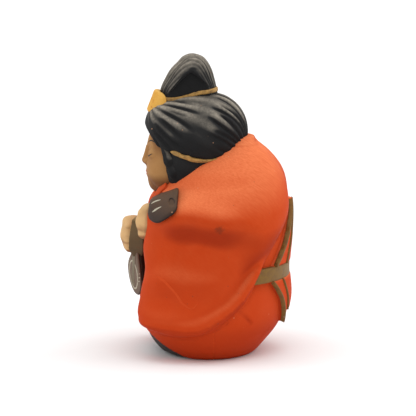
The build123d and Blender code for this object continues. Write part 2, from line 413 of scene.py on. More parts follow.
# Robe without sleeves: height, middle across, middle deep, half width, half depth
ROBE = scaled([
    (0.0, 0.0, 0.0, 20.0, 17.0),
    (4.0, 0.0, 0.1, 24.0, 20.4),
    (10.0, 0.0, 1.0, 27.2, 24.2),
    (19.0, 0.0, 1.9, 28.6, 26.1),
    (31.0, 0.0, 2.4, 27.4, 25.2),
    (45.0, 0.0, 4.0, 26.0, 24.6),
    (58.0, 0.0, 4.5, 22.4, 23.2),
    (68.0, 0.0, 5.0, 16.0, 19.0),
    (73.0, 0.0, 5.4, 11.4, 14.4),
    (76.6, 0.0, 7.0, 6.4, 8.0),
])
# Left sleeve with its shoulder, in the same terms
SLEEVE = scaled([
    (9.8, 18.5, -8.6, 7.0, 8.5),
    (12.2, 19.3, -9.2, 10.2, 14.0),
    (16.0, 19.8, -8.8, 12.0, 16.4),
    (23.0, 19.8, -7.0, 12.4, 17.6),
    (32.0, 18.6, -3.8, 12.6, 18.8),
    (41.0, 16.8, -0.2, 14.2, 23.0),
    (50.0, 14.8, 3.4, 16.2, 24.0),
    (58.0, 12.0, 5.4, 15.8, 22.6),
    (66.0, 8.8, 9.0, 12.2, 16.4),
    (72.0, 6.2, 10.0, 8.0, 10.4),
    (75.6, 5.0, 10.4, 4.4, 6.0),
])
SLEEVE_TURN = math.radians(-10.0)
# Lower edge of the left sleeve, from its front corner round to the back
HEM = [at(14.5, -22.4, 14.8), at(22.0, -17.4, 13.0), at(26.0, -10.5, 12.4), at(28.4, -3.5, 13.2),
       at(28.8, 3.5, 17.2), at(27.0, 11.2, 23.8), at(23.8, 17.0, 33.0), at(19.6, 21.4, 42.2)]
HEM_ROLL = [1.2, 1.6, 2.0, 2.2, 2.2, 2.0, 1.6, 0.6]
HEM_FINE = [np.array(k) for k in zip(*(through(range(8), [p[axis] for p in HEM], np.linspace(0, 7, 15))
                                       for axis in range(3)))]
HEM_ROLL_FINE = through(range(8), HEM_ROLL, np.linspace(0, 7, 15))
FOREARM = [at(26.5, 4.0, 48.5), at(22.5, -8.0, 50.0), at(13.6, -15.6, 50.8)]
UNDER_ARM = [at(38.0, 8.0, 38.6), at(34.4, -8.0, 39.0), at(31.0, -19.0, 40.4)]
UNDER_SWELL = [at(37.5, 5.0, 21.0), at(35.0, -9.0, 20.5), at(27.5, -25.5, 21.5)]


def left_side(places):
    """The places, with those on the doll's right turned over to its left."""
    return np.concatenate([FOOT[0] + np.abs(places[..., :1] - FOOT[0]), places[..., 1:]], axis=-1)


def robe_body(places):
    """The robe with its arms taken off."""
    return ovals(places, ROBE, soft=1.2)


def left_sleeve(places):
    """The left sleeve, its shoulder and its rolled hem."""
    form = ovals(places, SLEEVE, SLEEVE_TURN, soft=2.0)
    form = join(form, rope(places, FOREARM, (6.4, 6.6, 5.4), 3.0), 5.0)
    form = carve(form, rope(places, UNDER_ARM, (6.4, 7.4, 5.4), 2.0), 12.0)
    form = carve(form, rope(places, UNDER_SWELL, (4.2, 5.4, 4.2), 2.0), 9.0)
    return join(form, rope(places, HEM_FINE, HEM_ROLL_FINE, 0.05), 2.6)


def fillet_size(places):
    """How softly a sleeve runs into the robe: crisp at the hem and smooth over the back and neck."""
    _, deep, height = measured(places)
    return 1.6 + 7.2 * np.maximum(ease(height, 38.0, 56.0) * ease(deep, 6.0, 20.0), ease(height, 58.0, 68.0))


def robe_all(places):
    """The robe and both sleeves as one run of clay."""
    return join(robe_body(places), left_sleeve(left_side(places)), fillet_size(places))


def sleeve_piece(side, lift):
    """One sleeve as its own piece, lapped a little over the robe and past the middle of the back."""
    def form(places):
        sleeve, soft = left_sleeve(left_side(places)), fillet_size(places)
        own = np.maximum(sleeve - soft * UNIT, -side * (places[..., 0] - FOOT[0]) - 0.3 * UNIT)
        return np.maximum(join(robe_body(places), sleeve, soft) - lift, own)
    return form


ARCH_HIGH = 8.6


def arch(places):
    """The low arch at the front of the hem."""
    x, y, z = measured(places)
    return UNIT * np.maximum((np.hypot(x / 18.0, z / ARCH_HIGH) - 1.0) * ARCH_HIGH, y + 6.0)


def robe_half(front):
    """The front or back shell of the robe, lapped at the side seam."""
    seam = room("robe_front_shell")[1][1]

    def form(places):
        past_seam = places[..., 1] - seam
        if front:
            return carve(np.maximum(robe_body(places), past_seam - 0.3 * UNIT), arch(places), 0.5)
        return np.maximum(robe_body(places) + 0.02, -0.3 * UNIT - past_seam)
    return form


def relief(depth, region, soft=0.8):
    """A raised layer that deep on the robe, inside a region."""
    return lambda places: meet(robe_body(places) - depth * UNIT, region(places), soft)


def level_band(low, high, behind):
    """The region between two heights, behind a plane."""
    def region(places):
        _, deep, height = measured(places)
        return UNIT * np.maximum(np.abs(height - (low + high) / 2) - (high - low) / 2, behind - deep)
    return region


def fan(narrow, wide, sash_edge, tip, end, side):
    """A strip of the bow between two widths, which both narrow towards one tip; side 0 is the middle."""
    low, high = min(sash_edge, end) - 0.4, max(sash_edge, end) + 0.4

    def region(places):
        x, deep, height = measured(places)
        share = np.clip((height - tip) / (sash_edge - tip), 0.02, 2.0)
        across = side * x if side else np.abs(x)
        sides = np.maximum(across - wide * share, narrow * share - across if side else -1.0 - across)
        ends = np.abs(height - (low + high) / 2) - (high - low) / 2
        return UNIT * np.maximum(np.maximum(sides, ends), -deep)
    return region


# Head
HEAD_LOW, HEAD_HIGH = room("head_shell")
KNOT_LOW, KNOT_HIGH = room("topknot")


# Lumps of the head, in the order that they are worked, each with how softly it blends
FACE = [
    (join, egg((5.4, -14.2, 66.0), (6.4, 6.9, 6.6)), 4.0),
    (join, egg((0.0, -16.0, 65.4), (5.4, 5.6, 5.0)), 3.0),
    (join, egg((0.0, -17.0, 60.9), (4.2, 4.0, 3.4)), 3.0),
    (carve, egg((5.4, -23.2, 73.0), (3.8, 2.4, 1.9)), 2.6),
    (join, egg((5.3, -19.1, 72.3), (3.4, 2.2, 1.9)), 1.6),
    (join, stick((0.0, -21.3, 73.4), (0.0, -22.5, 69.4), 0.8, 1.25), 1.8),
    (join, egg((1.35, -21.7, 68.9), (1.0, 1.1, 0.9)), 0.8),
    (join, stick((0.0, -21.5, 65.5), (1.9, -20.9, 65.2), 0.75, 0.3), 0.6),
    (join, stick((0.0, -21.2, 64.1), (1.5, -20.8, 64.3), 0.8, 0.35), 0.6),
    (join, stick((0.0, -3.0, 55.0), (0.0, -5.0, 66.0), 7.4), 4.0),
]
HAIR = [
    (join, egg((0.0, 2.4, 81.5), (12.5, 10.8, 11.2)), 4.0),
    (join, egg((0.0, -14.6, 83.2), (10.5, 7.2, 7.4)), 4.0),
]


def face_and_neck(places):
    """A calm, full-cheeked doll's head of the maker's own plain pattern."""
    radii = (HEAD_HIGH - HEAD_LOW) / 2 - UNIT * np.array([0.0, 0.5, 0.0])
    return worked(left_side(places), blob(places, (HEAD_LOW + HEAD_HIGH) / 2, radii), FACE)


def hair_mass(places):
    """The whole head of hair, before the face is cut out of it."""
    return worked(places, egg((0.0, -4.5, 77.5), (16.8, 18.0, 16.3))(places), HAIR)


def face_opening(places):
    """What the hair leaves open for the face."""
    x, y, z = measured(places)
    return UNIT * np.maximum((np.hypot(x / 12.3, (z - 67.5) / 14.6) - 1.0) * 12.3, y + 6.0)


CORD_MIDDLE = spot("nape_cord", 0.5, 0.32, 0.58)
CORD_TILT = math.radians(-11.0)


def above_cord(places):
    """Height over the tilted plane of the nape cord."""
    gap = places - CORD_MIDDLE
    return gap[..., 2] * math.cos(CORD_TILT) - gap[..., 1] * math.sin(CORD_TILT)


def upper_hair(places):
    """The hair above the nape cord, with its rolled edge round the face."""
    form = carve(hair_mass(places), face_opening(places), 1.0)
    return meet(form, -above_cord(places) - 0.2 * UNIT, 1.2)


def lower_hair(places):
    """The hair below the nape cord, which goes down into the collar."""
    form = join(egg((0.0, -2.6, 71.5), (14.9, 14.4, 12.5))(places), hair_mass(places) + 1.2 * UNIT, 1.0)
    form = carve(form, face_opening(places), 0.8)
    form = join(form, egg((11.0, -7.6, 68.4), (4.6, 7.6, 9.0))(left_side(places)), 1.5)
    return meet(form, above_cord(places) - 0.6 * UNIT, 0.6)


LOCK = [at(11.3, -16.0, 75.8), at(12.6, -13.9, 71.0), at(12.9, -12.2, 67.0), at(12.9, -10.4, 63.2)]


def left_lock(places):
    """The lock of hair in front of the left ear."""
    return rope(places, LOCK, (1.1, 1.7, 2.0, 1.6), 1.2)


# Topknot, in the same terms as the robe
KNOT = scaled([
    (88.4, 0.0, -6.6, 6.2, 9.6),
    (91.0, 0.0, -6.6, 6.9, 10.3),
    (95.0, 0.0, -6.9, 7.1, 10.1),
    (99.0, 0.0, -6.5, 6.9, 8.8),
    (102.5, 0.0, -6.0, 6.3, 7.2),
    (105.0, 0.0, -5.5, 5.2, 5.3),
    (106.8, 0.0, -5.5, 3.6, 3.6),
    (107.9, 0.0, -5.7, 1.6, 1.8),
])


def knot(places):
    """The looped topknot: a standing disc of hair with a flat, sunken lens on each side."""
    x, y, z = measured(left_side(places))
    peak = 9.9 * (1.0 - np.clip(np.abs(y + 5.9) / 9.8, 0.0, 1.0) ** 1.35)
    return carve(ovals(places, KNOT, soft=1.5), UNIT * np.maximum((z - 91.4 - peak) * 0.72, 4.9 - x), 1.0)


def drop(place, direction, form):
    """The place where a line from outside the clay, along a direction, meets its surface."""
    direction = even(np.asarray(direction, float))
    for _ in range(40):
        gap = float(form(place[None])[0])
        if abs(gap) < 0.005:
            break
        place = place + direction * np.clip(gap * 0.8, -3.0, 3.0)
    return place


def from_left(y, z, form):
    """The place on a form that shows at that depth and height, seen from the doll's left."""
    return drop(at(40.0, y, z), (-1.0, 0.0, 0.0), form)


def from_behind(x, z, form):
    """The place on a form that shows there, seen from behind."""
    return drop(at(x, 42.0, z), (0.0, -1.0, 0.0), form)


def from_front(x, z, form):
    """The place on a form that shows there, seen from the front."""
    return drop(at(x, -42.0, z), (0.0, 1.0, 0.0), form)


# Tool marks in the hair
FRONT_POLE, BACK_POLE = at(0.0, -20.5, 89.5), at(0.0, 21.0, 66.0)
# Comb grooves over the cap: turn from the crown in degrees, where it starts and ends, depth
COMBED = [(9, 0.34, 0.86, 0.5), (21, 0.36, 0.88, 0.7), (31, 0.40, 0.86, 0.75), (42, 0.37, 0.90, 0.8),
          (51, 0.43, 0.84, 0.75), (60, 0.38, 0.92, 0.8), (70, 0.46, 0.86, 0.75), (80, 0.44, 0.92, 0.7),
          (91, 0.52, 0.86, 0.55), (103, 0.56, 0.90, 0.4),
          (48, 0.10, 0.33, 0.5), (60, 0.06, 0.36, 0.6), (73, 0.07, 0.32, 0.65), (85, 0.05, 0.38, 0.7),
          (98, 0.06, 0.34, 0.65), (110, 0.05, 0.40, 0.65), (122, 0.07, 0.36, 0.6), (133, 0.08, 0.36, 0.6),
          (145, 0.06, 0.40, 0.55), (156, 0.08, 0.40, 0.55), (167, 0.05, 0.42, 0.5), (178, 0.07, 0.40, 0.5)]


def grooves(turn, girth, share, marks, width):
    """Sum of tool grooves at their own turns, each fading in and out along its length."""
    total = np.zeros(len(turn))
    for index, (where, start, end, depth) in enumerate(marks):
        sway = 0.035 * np.sin(9.0 * share + 1.7 * index)
        gap = (turn - math.radians(where) - sway) * girth
        fade = ease(share, start, start + 0.10) * (1.0 - ease(share, end - 0.12, end))
        total = np.maximum(total, depth * fade * np.exp(-(gap / width) ** 2))
    return total


def comb_cap(depth):
    """Comb marks that run back and down over the hair, between the brow and the nape."""
    along = BACK_POLE - FRONT_POLE
    length = np.sqrt(along @ along)
    along = along / length
    crown = np.array([0.0, -along[2], along[1]])

    def shape(points, normals):
        gap = points - FRONT_POLE
        share = gap @ along / length
        round_it = gap - (gap @ along)[:, None] * along
        girth = np.sqrt((round_it ** 2).sum(axis=-1))
        turn = np.arctan2(np.abs(points[:, 0] - FOOT[0]), round_it @ crown)
        cut = grooves(turn, girth, share, COMBED, 0.62 * UNIT)
        swell = 0.5 + 0.5 * np.cos(turn * 19.0 + 2.0 * np.sin(5.0 * share))
        fine = 0.5 + 0.5 * np.cos(turn * girth * 2 * math.pi / (1.15 * UNIT) + 3.0 * np.sin(7.0 * share))
        busy = ease(share, 0.30, 0.50) + (1.0 - ease(share, 0.22, 0.40))
        busy = np.clip(busy, 0.25, 1.0) * ease(math.pi * 0.80 - turn, 0.0, 0.5)
        push = -depth * cut * UNIT + 0.16 * UNIT * busy * swell + 0.05 * UNIT * busy * (fine - 0.5)
        # The mask rises on upward faces for a painted highlight and on the ridges for dust, and falls in the
        # grooves, which paints shade into them
        lit = ease(normals[:, 2], -0.30, 0.85)
        wear_and_light = np.clip(lit * (0.45 + 0.60 * busy * swell) - 0.9 * cut, 0.0, 1.0)
        return push, wear_and_light
    return shape


KNOT_MARKS = [(0.9, 0.4), (2.1, 0.5), (3.3, 0.5), (4.4, 0.45), (5.3, 0.4), (6.1, 0.3)]


def comb_knot(depth):
    """Strands that loop over the topknot from front to back."""
    def shape(points, normals):
        height = (points[:, 2] - KNOT_LOW[2]) / (KNOT_HIGH[2] - KNOT_LOW[2])
        spread = 0.72 + 0.28 * ease(height, 0.15, 0.7)
        x = np.abs(points[:, 0] - FOOT[0]) / (UNIT * spread)
        on_lens = ease(np.abs(normals[:, 0]), 0.90, 0.98)
        cut = np.zeros(len(points))
        for where, deep in KNOT_MARKS:
            sway = 0.16 * np.sin(points[:, 1] / UNIT * 0.45 + 2.0 * where)
            cut = np.maximum(cut, deep * np.exp(-((x - where - sway) / 0.36) ** 2))
        cut *= (1.0 - on_lens)
        # The mask rises on upward faces for a painted highlight and on the ridges for dust, and falls in the
        # grooves, which paints shade into them
        lit = ease(normals[:, 2], -0.3, 0.9)
        wear_and_light = np.clip((0.35 + 0.65 * lit - 0.9 * cut) * (1.0 - on_lens), 0.0, 1.0)
        return -depth * cut * UNIT, wear_and_light
    return shape


# Marks in the robe: depth, height, radius and depth of cut of each pit, and the two ends of a crease
PITS = [(-9.6, 62.0, 0.5, 0.35), (-8.6, 61.4, 0.4, 0.30), (-7.6, 64.2, 0.35, 0.25),
        (-4.0, 25.4, 0.45, 0.2), (12.0, 44.0, 0.3, 0.2), (1.5, 61.0, 0.3, 0.2)]
CREASE = (at(26.6, 9.6, 20.8), at(24.0, 15.6, 14.2))


def robe_marks(points, normals):
    """Pits and a short crease in the robe, with a painted highlight on upward faces, painted shade on downward faces
    and in the crease, and a little wear.
    """
    push, wear_and_light = light_and_wear(points, normals)
    for y, z, wide, deep in PITS:
        gap = long(points - from_left(y, z, robe_all))
        push -= deep * UNIT * np.exp(-(gap / (wide * UNIT)) ** 2)
    gap = rod(points, CREASE[0], CREASE[1], 0.0)
    push -= 0.45 * UNIT * np.exp(-(gap / (0.55 * UNIT)) ** 2)
    # Lowering the mask along the crease paints shade into it
    return push, wear_and_light - 0.3 * np.exp(-(gap / (0.7 * UNIT)) ** 2)


def light_and_wear(points, normals):
    """Painted light with a little handling wear: a painted highlight, with some dust, where the clay faces up, and
    painted shade where it faces down.
    """
    # lit lifts the mask on upward faces for the painted highlight; the last term lowers it on downward faces for
    # painted shade
    lit = 0.55 * ease(normals[:, 2], 0.15, 1.0)
    return np.zeros(len(points)), 0.45 + lit - 0.40 * ease(-normals[:, 2], 0.0, 0.55)


PLAQUE_MIDDLE = spot("hair_ornament", 0.5, 0.5, 0.5)
PLAQUE_OUT = np.array([0.0, -0.93, 0.36])
PLAQUE_UP = np.array([0.0, 0.36, 0.93])


def plaque_form(places):
    """The plaque, a leaf of clay bent round the front of the topknot, with rounded corners."""
    gap = (places - PLAQUE_MIDDLE) / UNIT
    across, up, out = gap[..., 0], gap @ PLAQUE_UP, gap @ PLAQUE_OUT
    half = 5.2 + 0.4 * np.cos(np.clip(up, -4, 4) * 0.7)
    outline = meet(UNIT * (np.abs(across) - half), UNIT * (np.abs(up) - 4.2), 2.0)
    return meet(outline, UNIT * (np.abs(out - 1.0 + 0.125 * across * across) - 1.25), 1.0)


# Hands

def hand(palm, radii, wrist, wrist_thick, wrist_soft, root, tip, apart, finger, finger_soft):
    """A closed hand: a rolled palm, a wrist that goes into the sleeve, and four fingers one under another."""
    palm = [at(*place) for place in palm]

    def form(places):
        made = join(rope(places, palm, radii, 1.5), rod(places, palm[1], wrist, wrist_thick), wrist_soft)
        for down in range(4):
            lower = np.array([0.0, 0.0, apart * down])
            made = join(made, rod(places, at(*(root - lower)), at(*(tip - lower)), *finger), finger_soft)
        return made
    return form


HANDS = {
    "left_hand": hand([(10.9, -21.2, 52.3), (11.8, -21.9, 48.8), (12.3, -21.4, 45.0)], (3.1, 3.6, 2.9),
                      spot("left_hand", 0.85, 0.85, 0.3), 2.9, 1.5,
                      (9.6, -21.2, 52.4), (12.6, -23.6, 52.2), 2.55, (1.5, 1.35), 1.2),
    "right_hand": hand([(-2.4, -26.9, 44.8), (-1.5, -27.2, 41.6), (-1.0, -26.6, 38.6)], (3.9, 4.1, 3.5),
                       spot("right_hand", 0.12, 0.85, 0.42), 3.0, 2.0,
                       (-3.4, -29.2, 46.4), (1.6, -28.4, 45.4), 2.7, (1.6, 1.4), 1.3),
}


# Lute

def square_to(direction, along):
    """The part of a direction that is square to another, brought to a length of one."""
    return even(direction - along * (direction @ along))


LUTE_MIDDLE = spot("lute_soundboard", 0.47, 0.57, 0.38)
NECK_END = spot("lute_neck", 0.825, 0.636, 0.945)
LUTE_LENGTH = long(NECK_END - LUTE_MIDDLE)
LUTE_ALONG = (NECK_END - LUTE_MIDDLE) / LUTE_LENGTH
LUTE_FACING = square_to(np.array([0.38, -0.92, 0.0]), LUTE_ALONG)
LUTE_ACROSS = np.cross(LUTE_ALONG, LUTE_FACING)
BODY_LOW_RADIUS, BODY_TOP_RADIUS, BODY_LENGTH = 7.0 * UNIT, 2.3 * UNIT, 10.5 * UNIT
BOWL_DEPTH, BOARD_THICK = 3.4 * UNIT, 0.9 * UNIT

PEG_START, PEG_END = spot("lute_pegbox", 0.20, 0.05, 0.19), spot("lute_pegbox", 0.99, 0.89, 0.73)
PEG_FACING = square_to(np.array([0.78, -0.42, 0.46]), even(PEG_END - PEG_START))
PEG_MIDDLE = spot("lute_pegbox", 0.58, 0.5, 0.52)
PEG_DIMPLE = at(40.0, -12.8, 58.2)


def on_lute(across, along, out):
    """A place on the lute: across its face, along it from the middle of its body, and out of its face."""
    return LUTE_MIDDLE + UNIT * (across * LUTE_ACROSS + along * LUTE_ALONG + out * LUTE_FACING)


def pear(u, v):
    """Distance from the pear-shaped outline of the body."""
    u = np.abs(u)
    lean = (BODY_LOW_RADIUS - BODY_TOP_RADIUS) / BODY_LENGTH
    rise = math.sqrt(1.0 - lean * lean)
    height = -lean * u + rise * v
    low = np.sqrt(u * u + v * v) - BODY_LOW_RADIUS
    top = np.sqrt(u * u + (v - BODY_LENGTH) ** 2) - BODY_TOP_RADIUS
    side = rise * u + lean * v - BODY_LOW_RADIUS
    return np.where(height < 0, low, np.where(height > rise * BODY_LENGTH, top, side))


def lute_frame(places):
    """The places across, along and out of the lute's face."""
    gap = places - LUTE_MIDDLE
    return gap @ LUTE_ACROSS, gap @ LUTE_ALONG, gap @ LUTE_FACING


def bowl_form(places):
    """The rounded back of the lute's body."""
    u, v, w = lute_frame(places)
    shrink = 2.2 * UNIT * (np.clip(-w, 0.0, None) / BOWL_DEPTH) ** 2
    return meet(pear(u, v) + shrink, np.abs(w + BOWL_DEPTH / 2) - BOWL_DEPTH / 2, 0.5)


def board_form(places):
    """The soundboard, a little domed, with a rolled edge."""
    u, v, w = lute_frame(places)
    half = (BOARD_THICK + 0.25 * UNIT * np.clip(-pear(u, v) / (4.0 * UNIT), 0.0, 1.0)) / 2
    return meet(pear(u, v) - 0.15 * UNIT, np.abs(w - half) - half, 0.7)


def neck_form(places):
    """The ridged neck, which runs to a point on the soundboard."""
    u, v, w = lute_frame(places)
    full = 0.12 + 0.88 * ease(v, 6.5 * UNIT, 14.0 * UNIT) - 0.3 * ease(v, 17.0 * UNIT, 27.0 * UNIT)
    roof = 0.80 * np.abs(u) + 0.60 * (w - 0.5 * UNIT) - 1.75 * UNIT * full
    middle, half = (LUTE_LENGTH + 7.0 * UNIT) / 2, (LUTE_LENGTH - 7.0 * UNIT) / 2
    return meet(meet(roof, -w - 1.3 * UNIT, 0.8), np.abs(v - middle) - half, 1.0)


# Corners of the leaf-shaped pegbox, by depth and height
LEAF = [(-20.7, 57.0), (-10.3, 62.3), (-10.9, 55.4), (-17.6, 50.0), (-20.4, 50.3), (-21.6, 51.7)]


def pegbox_form(places):
    """The leaf-shaped pegbox, bent back over the shoulder."""
    x, y, z = measured(places)
    outline = None
    for (y0, z0), (y1, z1) in zip(LEAF, LEAF[1:] + LEAF[:1]):
        edge = ((y - y0) * (z0 - z1) + (z - z0) * (y1 - y0)) / math.hypot(y1 - y0, z1 - z0) * UNIT
        outline = edge if outline is None else meet(outline, edge, 1.2)
    slab = np.abs((places - PEG_MIDDLE) @ PEG_FACING + 0.6 * UNIT) - 2.2 * UNIT
    lap = np.maximum(np.abs(robe_all(places) - 0.2 * UNIT) - 1.8 * UNIT, (9.0 - x) * UNIT)
    form = meet(outline, join(slab, lap, 2.5), 1.8)
    pit = rod(places, PEG_DIMPLE, PEG_DIMPLE - UNIT * np.array([40.0, 0.0, 0.0]), 0.9)
    return carve(form, np.maximum(pit, -(form + 0.35 * UNIT)), 0.7)


def doll_all(places):
    """Every large form together, for finding folds and hollows."""
    hair = carve(hair_mass(places), face_opening(places), 0.8)
    return np.minimum(np.minimum(np.minimum(robe_all(places), face_and_neck(places)), hair), knot(places))


# Finishes

def tint(red, green, blue):
    """A colour given as a paint chart gives it, from 0 to 255, as Blender's own."""
    return tuple((c / 255 / 12.92 if c <= 10 else ((c / 255 + 0.055) / 1.055) ** 2.4) for c in (red, green, blue))


def solid(*chart):
    """The same with full cover."""
    return (*tint(*chart), 1.0)


def new_group(name, inputs, outputs):
    """An empty shader group with its sockets, and its two ends."""
    group = bpy.data.node_groups.new(name, "ShaderNodeTree")
    for label, value in inputs.items():
        kind = "NodeSocketColor" if isinstance(value, tuple) else "NodeSocketFloat"
        group.interface.new_socket(label, in_out="INPUT", socket_type=kind).default_value = value
    for label in outputs:
        kind = "NodeSocketColor" if label == "Color" else "NodeSocketFloat"
        group.interface.new_socket(label, in_out="OUTPUT", socket_type=kind)
    return group, group.nodes.new("NodeGroupInput").outputs, group.nodes.new("NodeGroupOutput").inputs


def feed(tree, socket, value):
    """Links a value into a socket, or sets it there."""
    if isinstance(value, bpy.types.NodeSocket):
        tree.links.new(value, socket)
    else:
        socket.default_value = value


def node(tree, kind, settings=None, **inputs):
    """A node, with its settings, and its inputs given as values or as sockets to link."""
    made = tree.nodes.new(kind)
    for key, value in (settings or {}).items():
        setattr(made, key, value)
    for key, value in inputs.items():
        feed(tree, made.inputs[int(key[1:])] if key[0] == "_" else made.inputs[key.replace("_", " ")], value)
    return made


def maths(tree, operation, a, b=0.0, clamp=False):
    """The result of one sum."""
    return node(tree, "ShaderNodeMath", {"operation": operation, "use_clamp": clamp}, _0=a, _1=b).outputs[0]


def times(tree, a, b, clamp=False):
    """a multiplied by b, kept between 0 and 1 where it is a share."""
    return maths(tree, "MULTIPLY", a, b, clamp)


def spread(tree, value, low, high, to_low=0.0, to_high=1.0):
    """A value moved from one range to another."""
    return node(tree, "ShaderNodeMapRange", None, Value=value, From_Min=low, From_Max=high, To_Min=to_low,
                To_Max=to_high).outputs[0]


def blend_colours(tree, share, a, b):
    """Colour a with colour b laid over it by a share."""
    mix = node(tree, "ShaderNodeMix", {"data_type": "RGBA"}, _0=share, _6=a, _7=b)
    return mix.outputs[2]


WHITE = (1.0, 1.0, 1.0, 1.0)
BARE_CLAY = (0.70, 0.36, 0.20, 1.0)
BUMP_SIZE = 0.10 * MM  # how high the bumps are at full strength
SLANT = (2.26, 0.0, 0.3)  # how brush and smoothing strokes lie, from upper front to lower back


def in_mm(tree, turn=(0.0, 0.0, 0.0), stretch=(1.0, 1.0, 1.0)):
    """Object coordinates in millimetres, turned and then stretched."""
    place = node(tree, "ShaderNodeTexCoord").outputs["Object"]
    turned = node(tree, "ShaderNodeMapping", None, Vector=place, Rotation=turn, Scale=(1 / MM,) * 3).outputs[0]
    return node(tree, "ShaderNodeMapping", None, Vector=turned, Scale=stretch).outputs[0]


def cloud(tree, place, scale, detail=2.0, rough=0.5):
    """Soft noise at so many blotches a millimetre."""
    return node(tree, "ShaderNodeTexNoise", None, Vector=place, Scale=scale, Detail=detail,
                Roughness=rough).outputs[0]


def mask(tree, name):
    """One of the masks that the clay pieces carry."""
    return node(tree, "ShaderNodeAttribute", {"attribute_name": name}).outputs["Fac"]


def make_groups():
    """The effects that several finishes share."""
    # Matte paint laid on by brush, paler in patches, with painted shade in the folds and on downward faces and a
    # painted highlight, with a little wear, on upward faces
    tree, give, take = new_group(
        "Brushed paint",
        {"Paint": WHITE, "Deep": WHITE, "Pale": WHITE, "Patchiness": 0.5, "Fold Depth": 0.6, "Wear": 0.3},
        ("Color", "Roughness"))
    blotch = spread(tree, cloud(tree, in_mm(tree), 0.11, 3.0, 0.55), 0.30, 0.70)
    strokes = cloud(tree, in_mm(tree, SLANT, (1.0, 1.0, 0.13)), 2.0, 3.0, 0.6)
    mottle = maths(tree, "ADD", times(tree, blotch, 0.6), times(tree, spread(tree, strokes, 0.30, 0.70), 0.4))
    colour = blend_colours(tree, times(tree, mottle, give["Patchiness"], True), give["Paint"], give["Pale"])
    # Painted shade: the shade colour laid into folds and hollows and onto downward faces
    for name, start, end in (("open", 0.85, 0.15), ("wear_and_light", 0.42, 0.05)):
        painted_shade = times(tree, spread(tree, mask(tree, name), start, end), give["Fold Depth"], True)
        colour = blend_colours(tree, painted_shade, colour, give["Deep"])
    # Painted highlight, with a little wear: the pale colour laid on upward faces
    highlight_and_rub = times(tree, spread(tree, mask(tree, "wear_and_light"), 0.45, 1.0), spread(tree, strokes, 0.30, 0.70, 0.6, 1.0))
    feed(tree, take["Color"], blend_colours(tree, times(tree, highlight_and_rub, give["Wear"], True), colour, give["Pale"]))
    feed(tree, take["Roughness"], spread(tree, strokes, 0.3, 0.7, 0.62, 0.78))

    # Small specks of dirt and of bare clay, and pinholes from the clay
    tree, give, take = new_group(
        "Specks and pinholes",
        {"Color": WHITE, "Dark": (0.06, 0.04, 0.03, 1.0), "Light": WHITE, "Amount": 0.5}, ("Color", "Pinholes"))
    dots = node(tree, "ShaderNodeTexVoronoi", None, Vector=in_mm(tree), Scale=0.55).outputs
    pick = node(tree, "ShaderNodeSeparateColor", None, Color=dots["Color"]).outputs
    size = spread(tree, pick[0], 0.0, 1.0, 0.02, 0.13)
    dot = spread(tree, maths(tree, "SUBTRACT", dots["Distance"], size), 0.06, -0.02)
    colour = give["Color"]
    for label, test, limit in (("Light", "LESS_THAN", 0.045), ("Dark", "GREATER_THAN", 0.91)):
        cover = times(tree, times(tree, dot, maths(tree, test, pick[1], limit)), give["Amount"])
        colour = blend_colours(tree, cover, colour, give[label])
    feed(tree, take["Color"], colour)
    feed(tree, take["Pinholes"], cover)

    # The clay's own surface under any paint: grain, smoothing strokes and pinholes, as a height
    tree, give, take = new_group("Clay surface", {"Grain": 0.5, "Strokes": 0.5, "Pinholes": 0.0}, ("Height",))
    grain = times(tree, cloud(tree, in_mm(tree), 3.2, 3.0, 0.6), give["Grain"])
    smooth = times(tree, cloud(tree, in_mm(tree, SLANT, (1.0, 1.0, 0.12)), 1.6, 3.0, 0.55), give["Strokes"])
    dents = times(tree, cloud(tree, in_mm(tree), 0.22, 1.0, 0.5), 0.9)
    height = maths(tree, "ADD", maths(tree, "ADD", grain, smooth), dents)
    feed(tree, take["Height"], maths(tree, "SUBTRACT", height, times(tree, give["Pinholes"], 1.4)))

    # Gold paint: bright grains in a dull brown ground
    tree, give, take = new_group(
        "Gold paint", {"Gold": WHITE, "Ground": WHITE, "Cover": 0.6}, ("Color", "Metal", "Roughness"))
    grains = cloud(tree, in_mm(tree), 4.5, 2.0, 0.6)
    worn_off = spread(tree, cloud(tree, in_mm(tree), 0.55, 3.0, 0.6), 0.28, 0.58, 0.35, 1.0)
    cover = times(tree, worn_off, give["Cover"], True)
    cover = times(tree, cover, spread(tree, grains, 0.3, 0.7, 0.7, 1.3), True)
    feed(tree, take["Color"], blend_colours(tree, cover, give["Ground"], give["Gold"]))
    feed(tree, take["Metal"], times(tree, cover, 0.45))
    feed(tree, take["Roughness"], spread(tree, grains, 0.3, 0.7, 0.42, 0.62))


def shared(tree, name, **inputs):
    """One of the shared effects, placed in a finish."""
    return node(tree, "ShaderNodeGroup", {"node_tree": bpy.data.node_groups[name]}, **inputs).outputs


def finish(name, paint_it, sheen, bump):
    """A new material; paint_it links the varying colour and roughness, and gives back a height."""
    material = bpy.data.materials.new(name)
    material.use_nodes = True
    tree = material.node_tree
    shader = tree.nodes["Principled BSDF"].inputs
    shader["Specular IOR Level"].default_value = sheen
    height = paint_it(tree, shader)
    raised = node(tree, "ShaderNodeBump", None, Strength=bump, Distance=BUMP_SIZE, Height=height)
    feed(tree, shader["Normal"], raised.outputs[0])
    return material


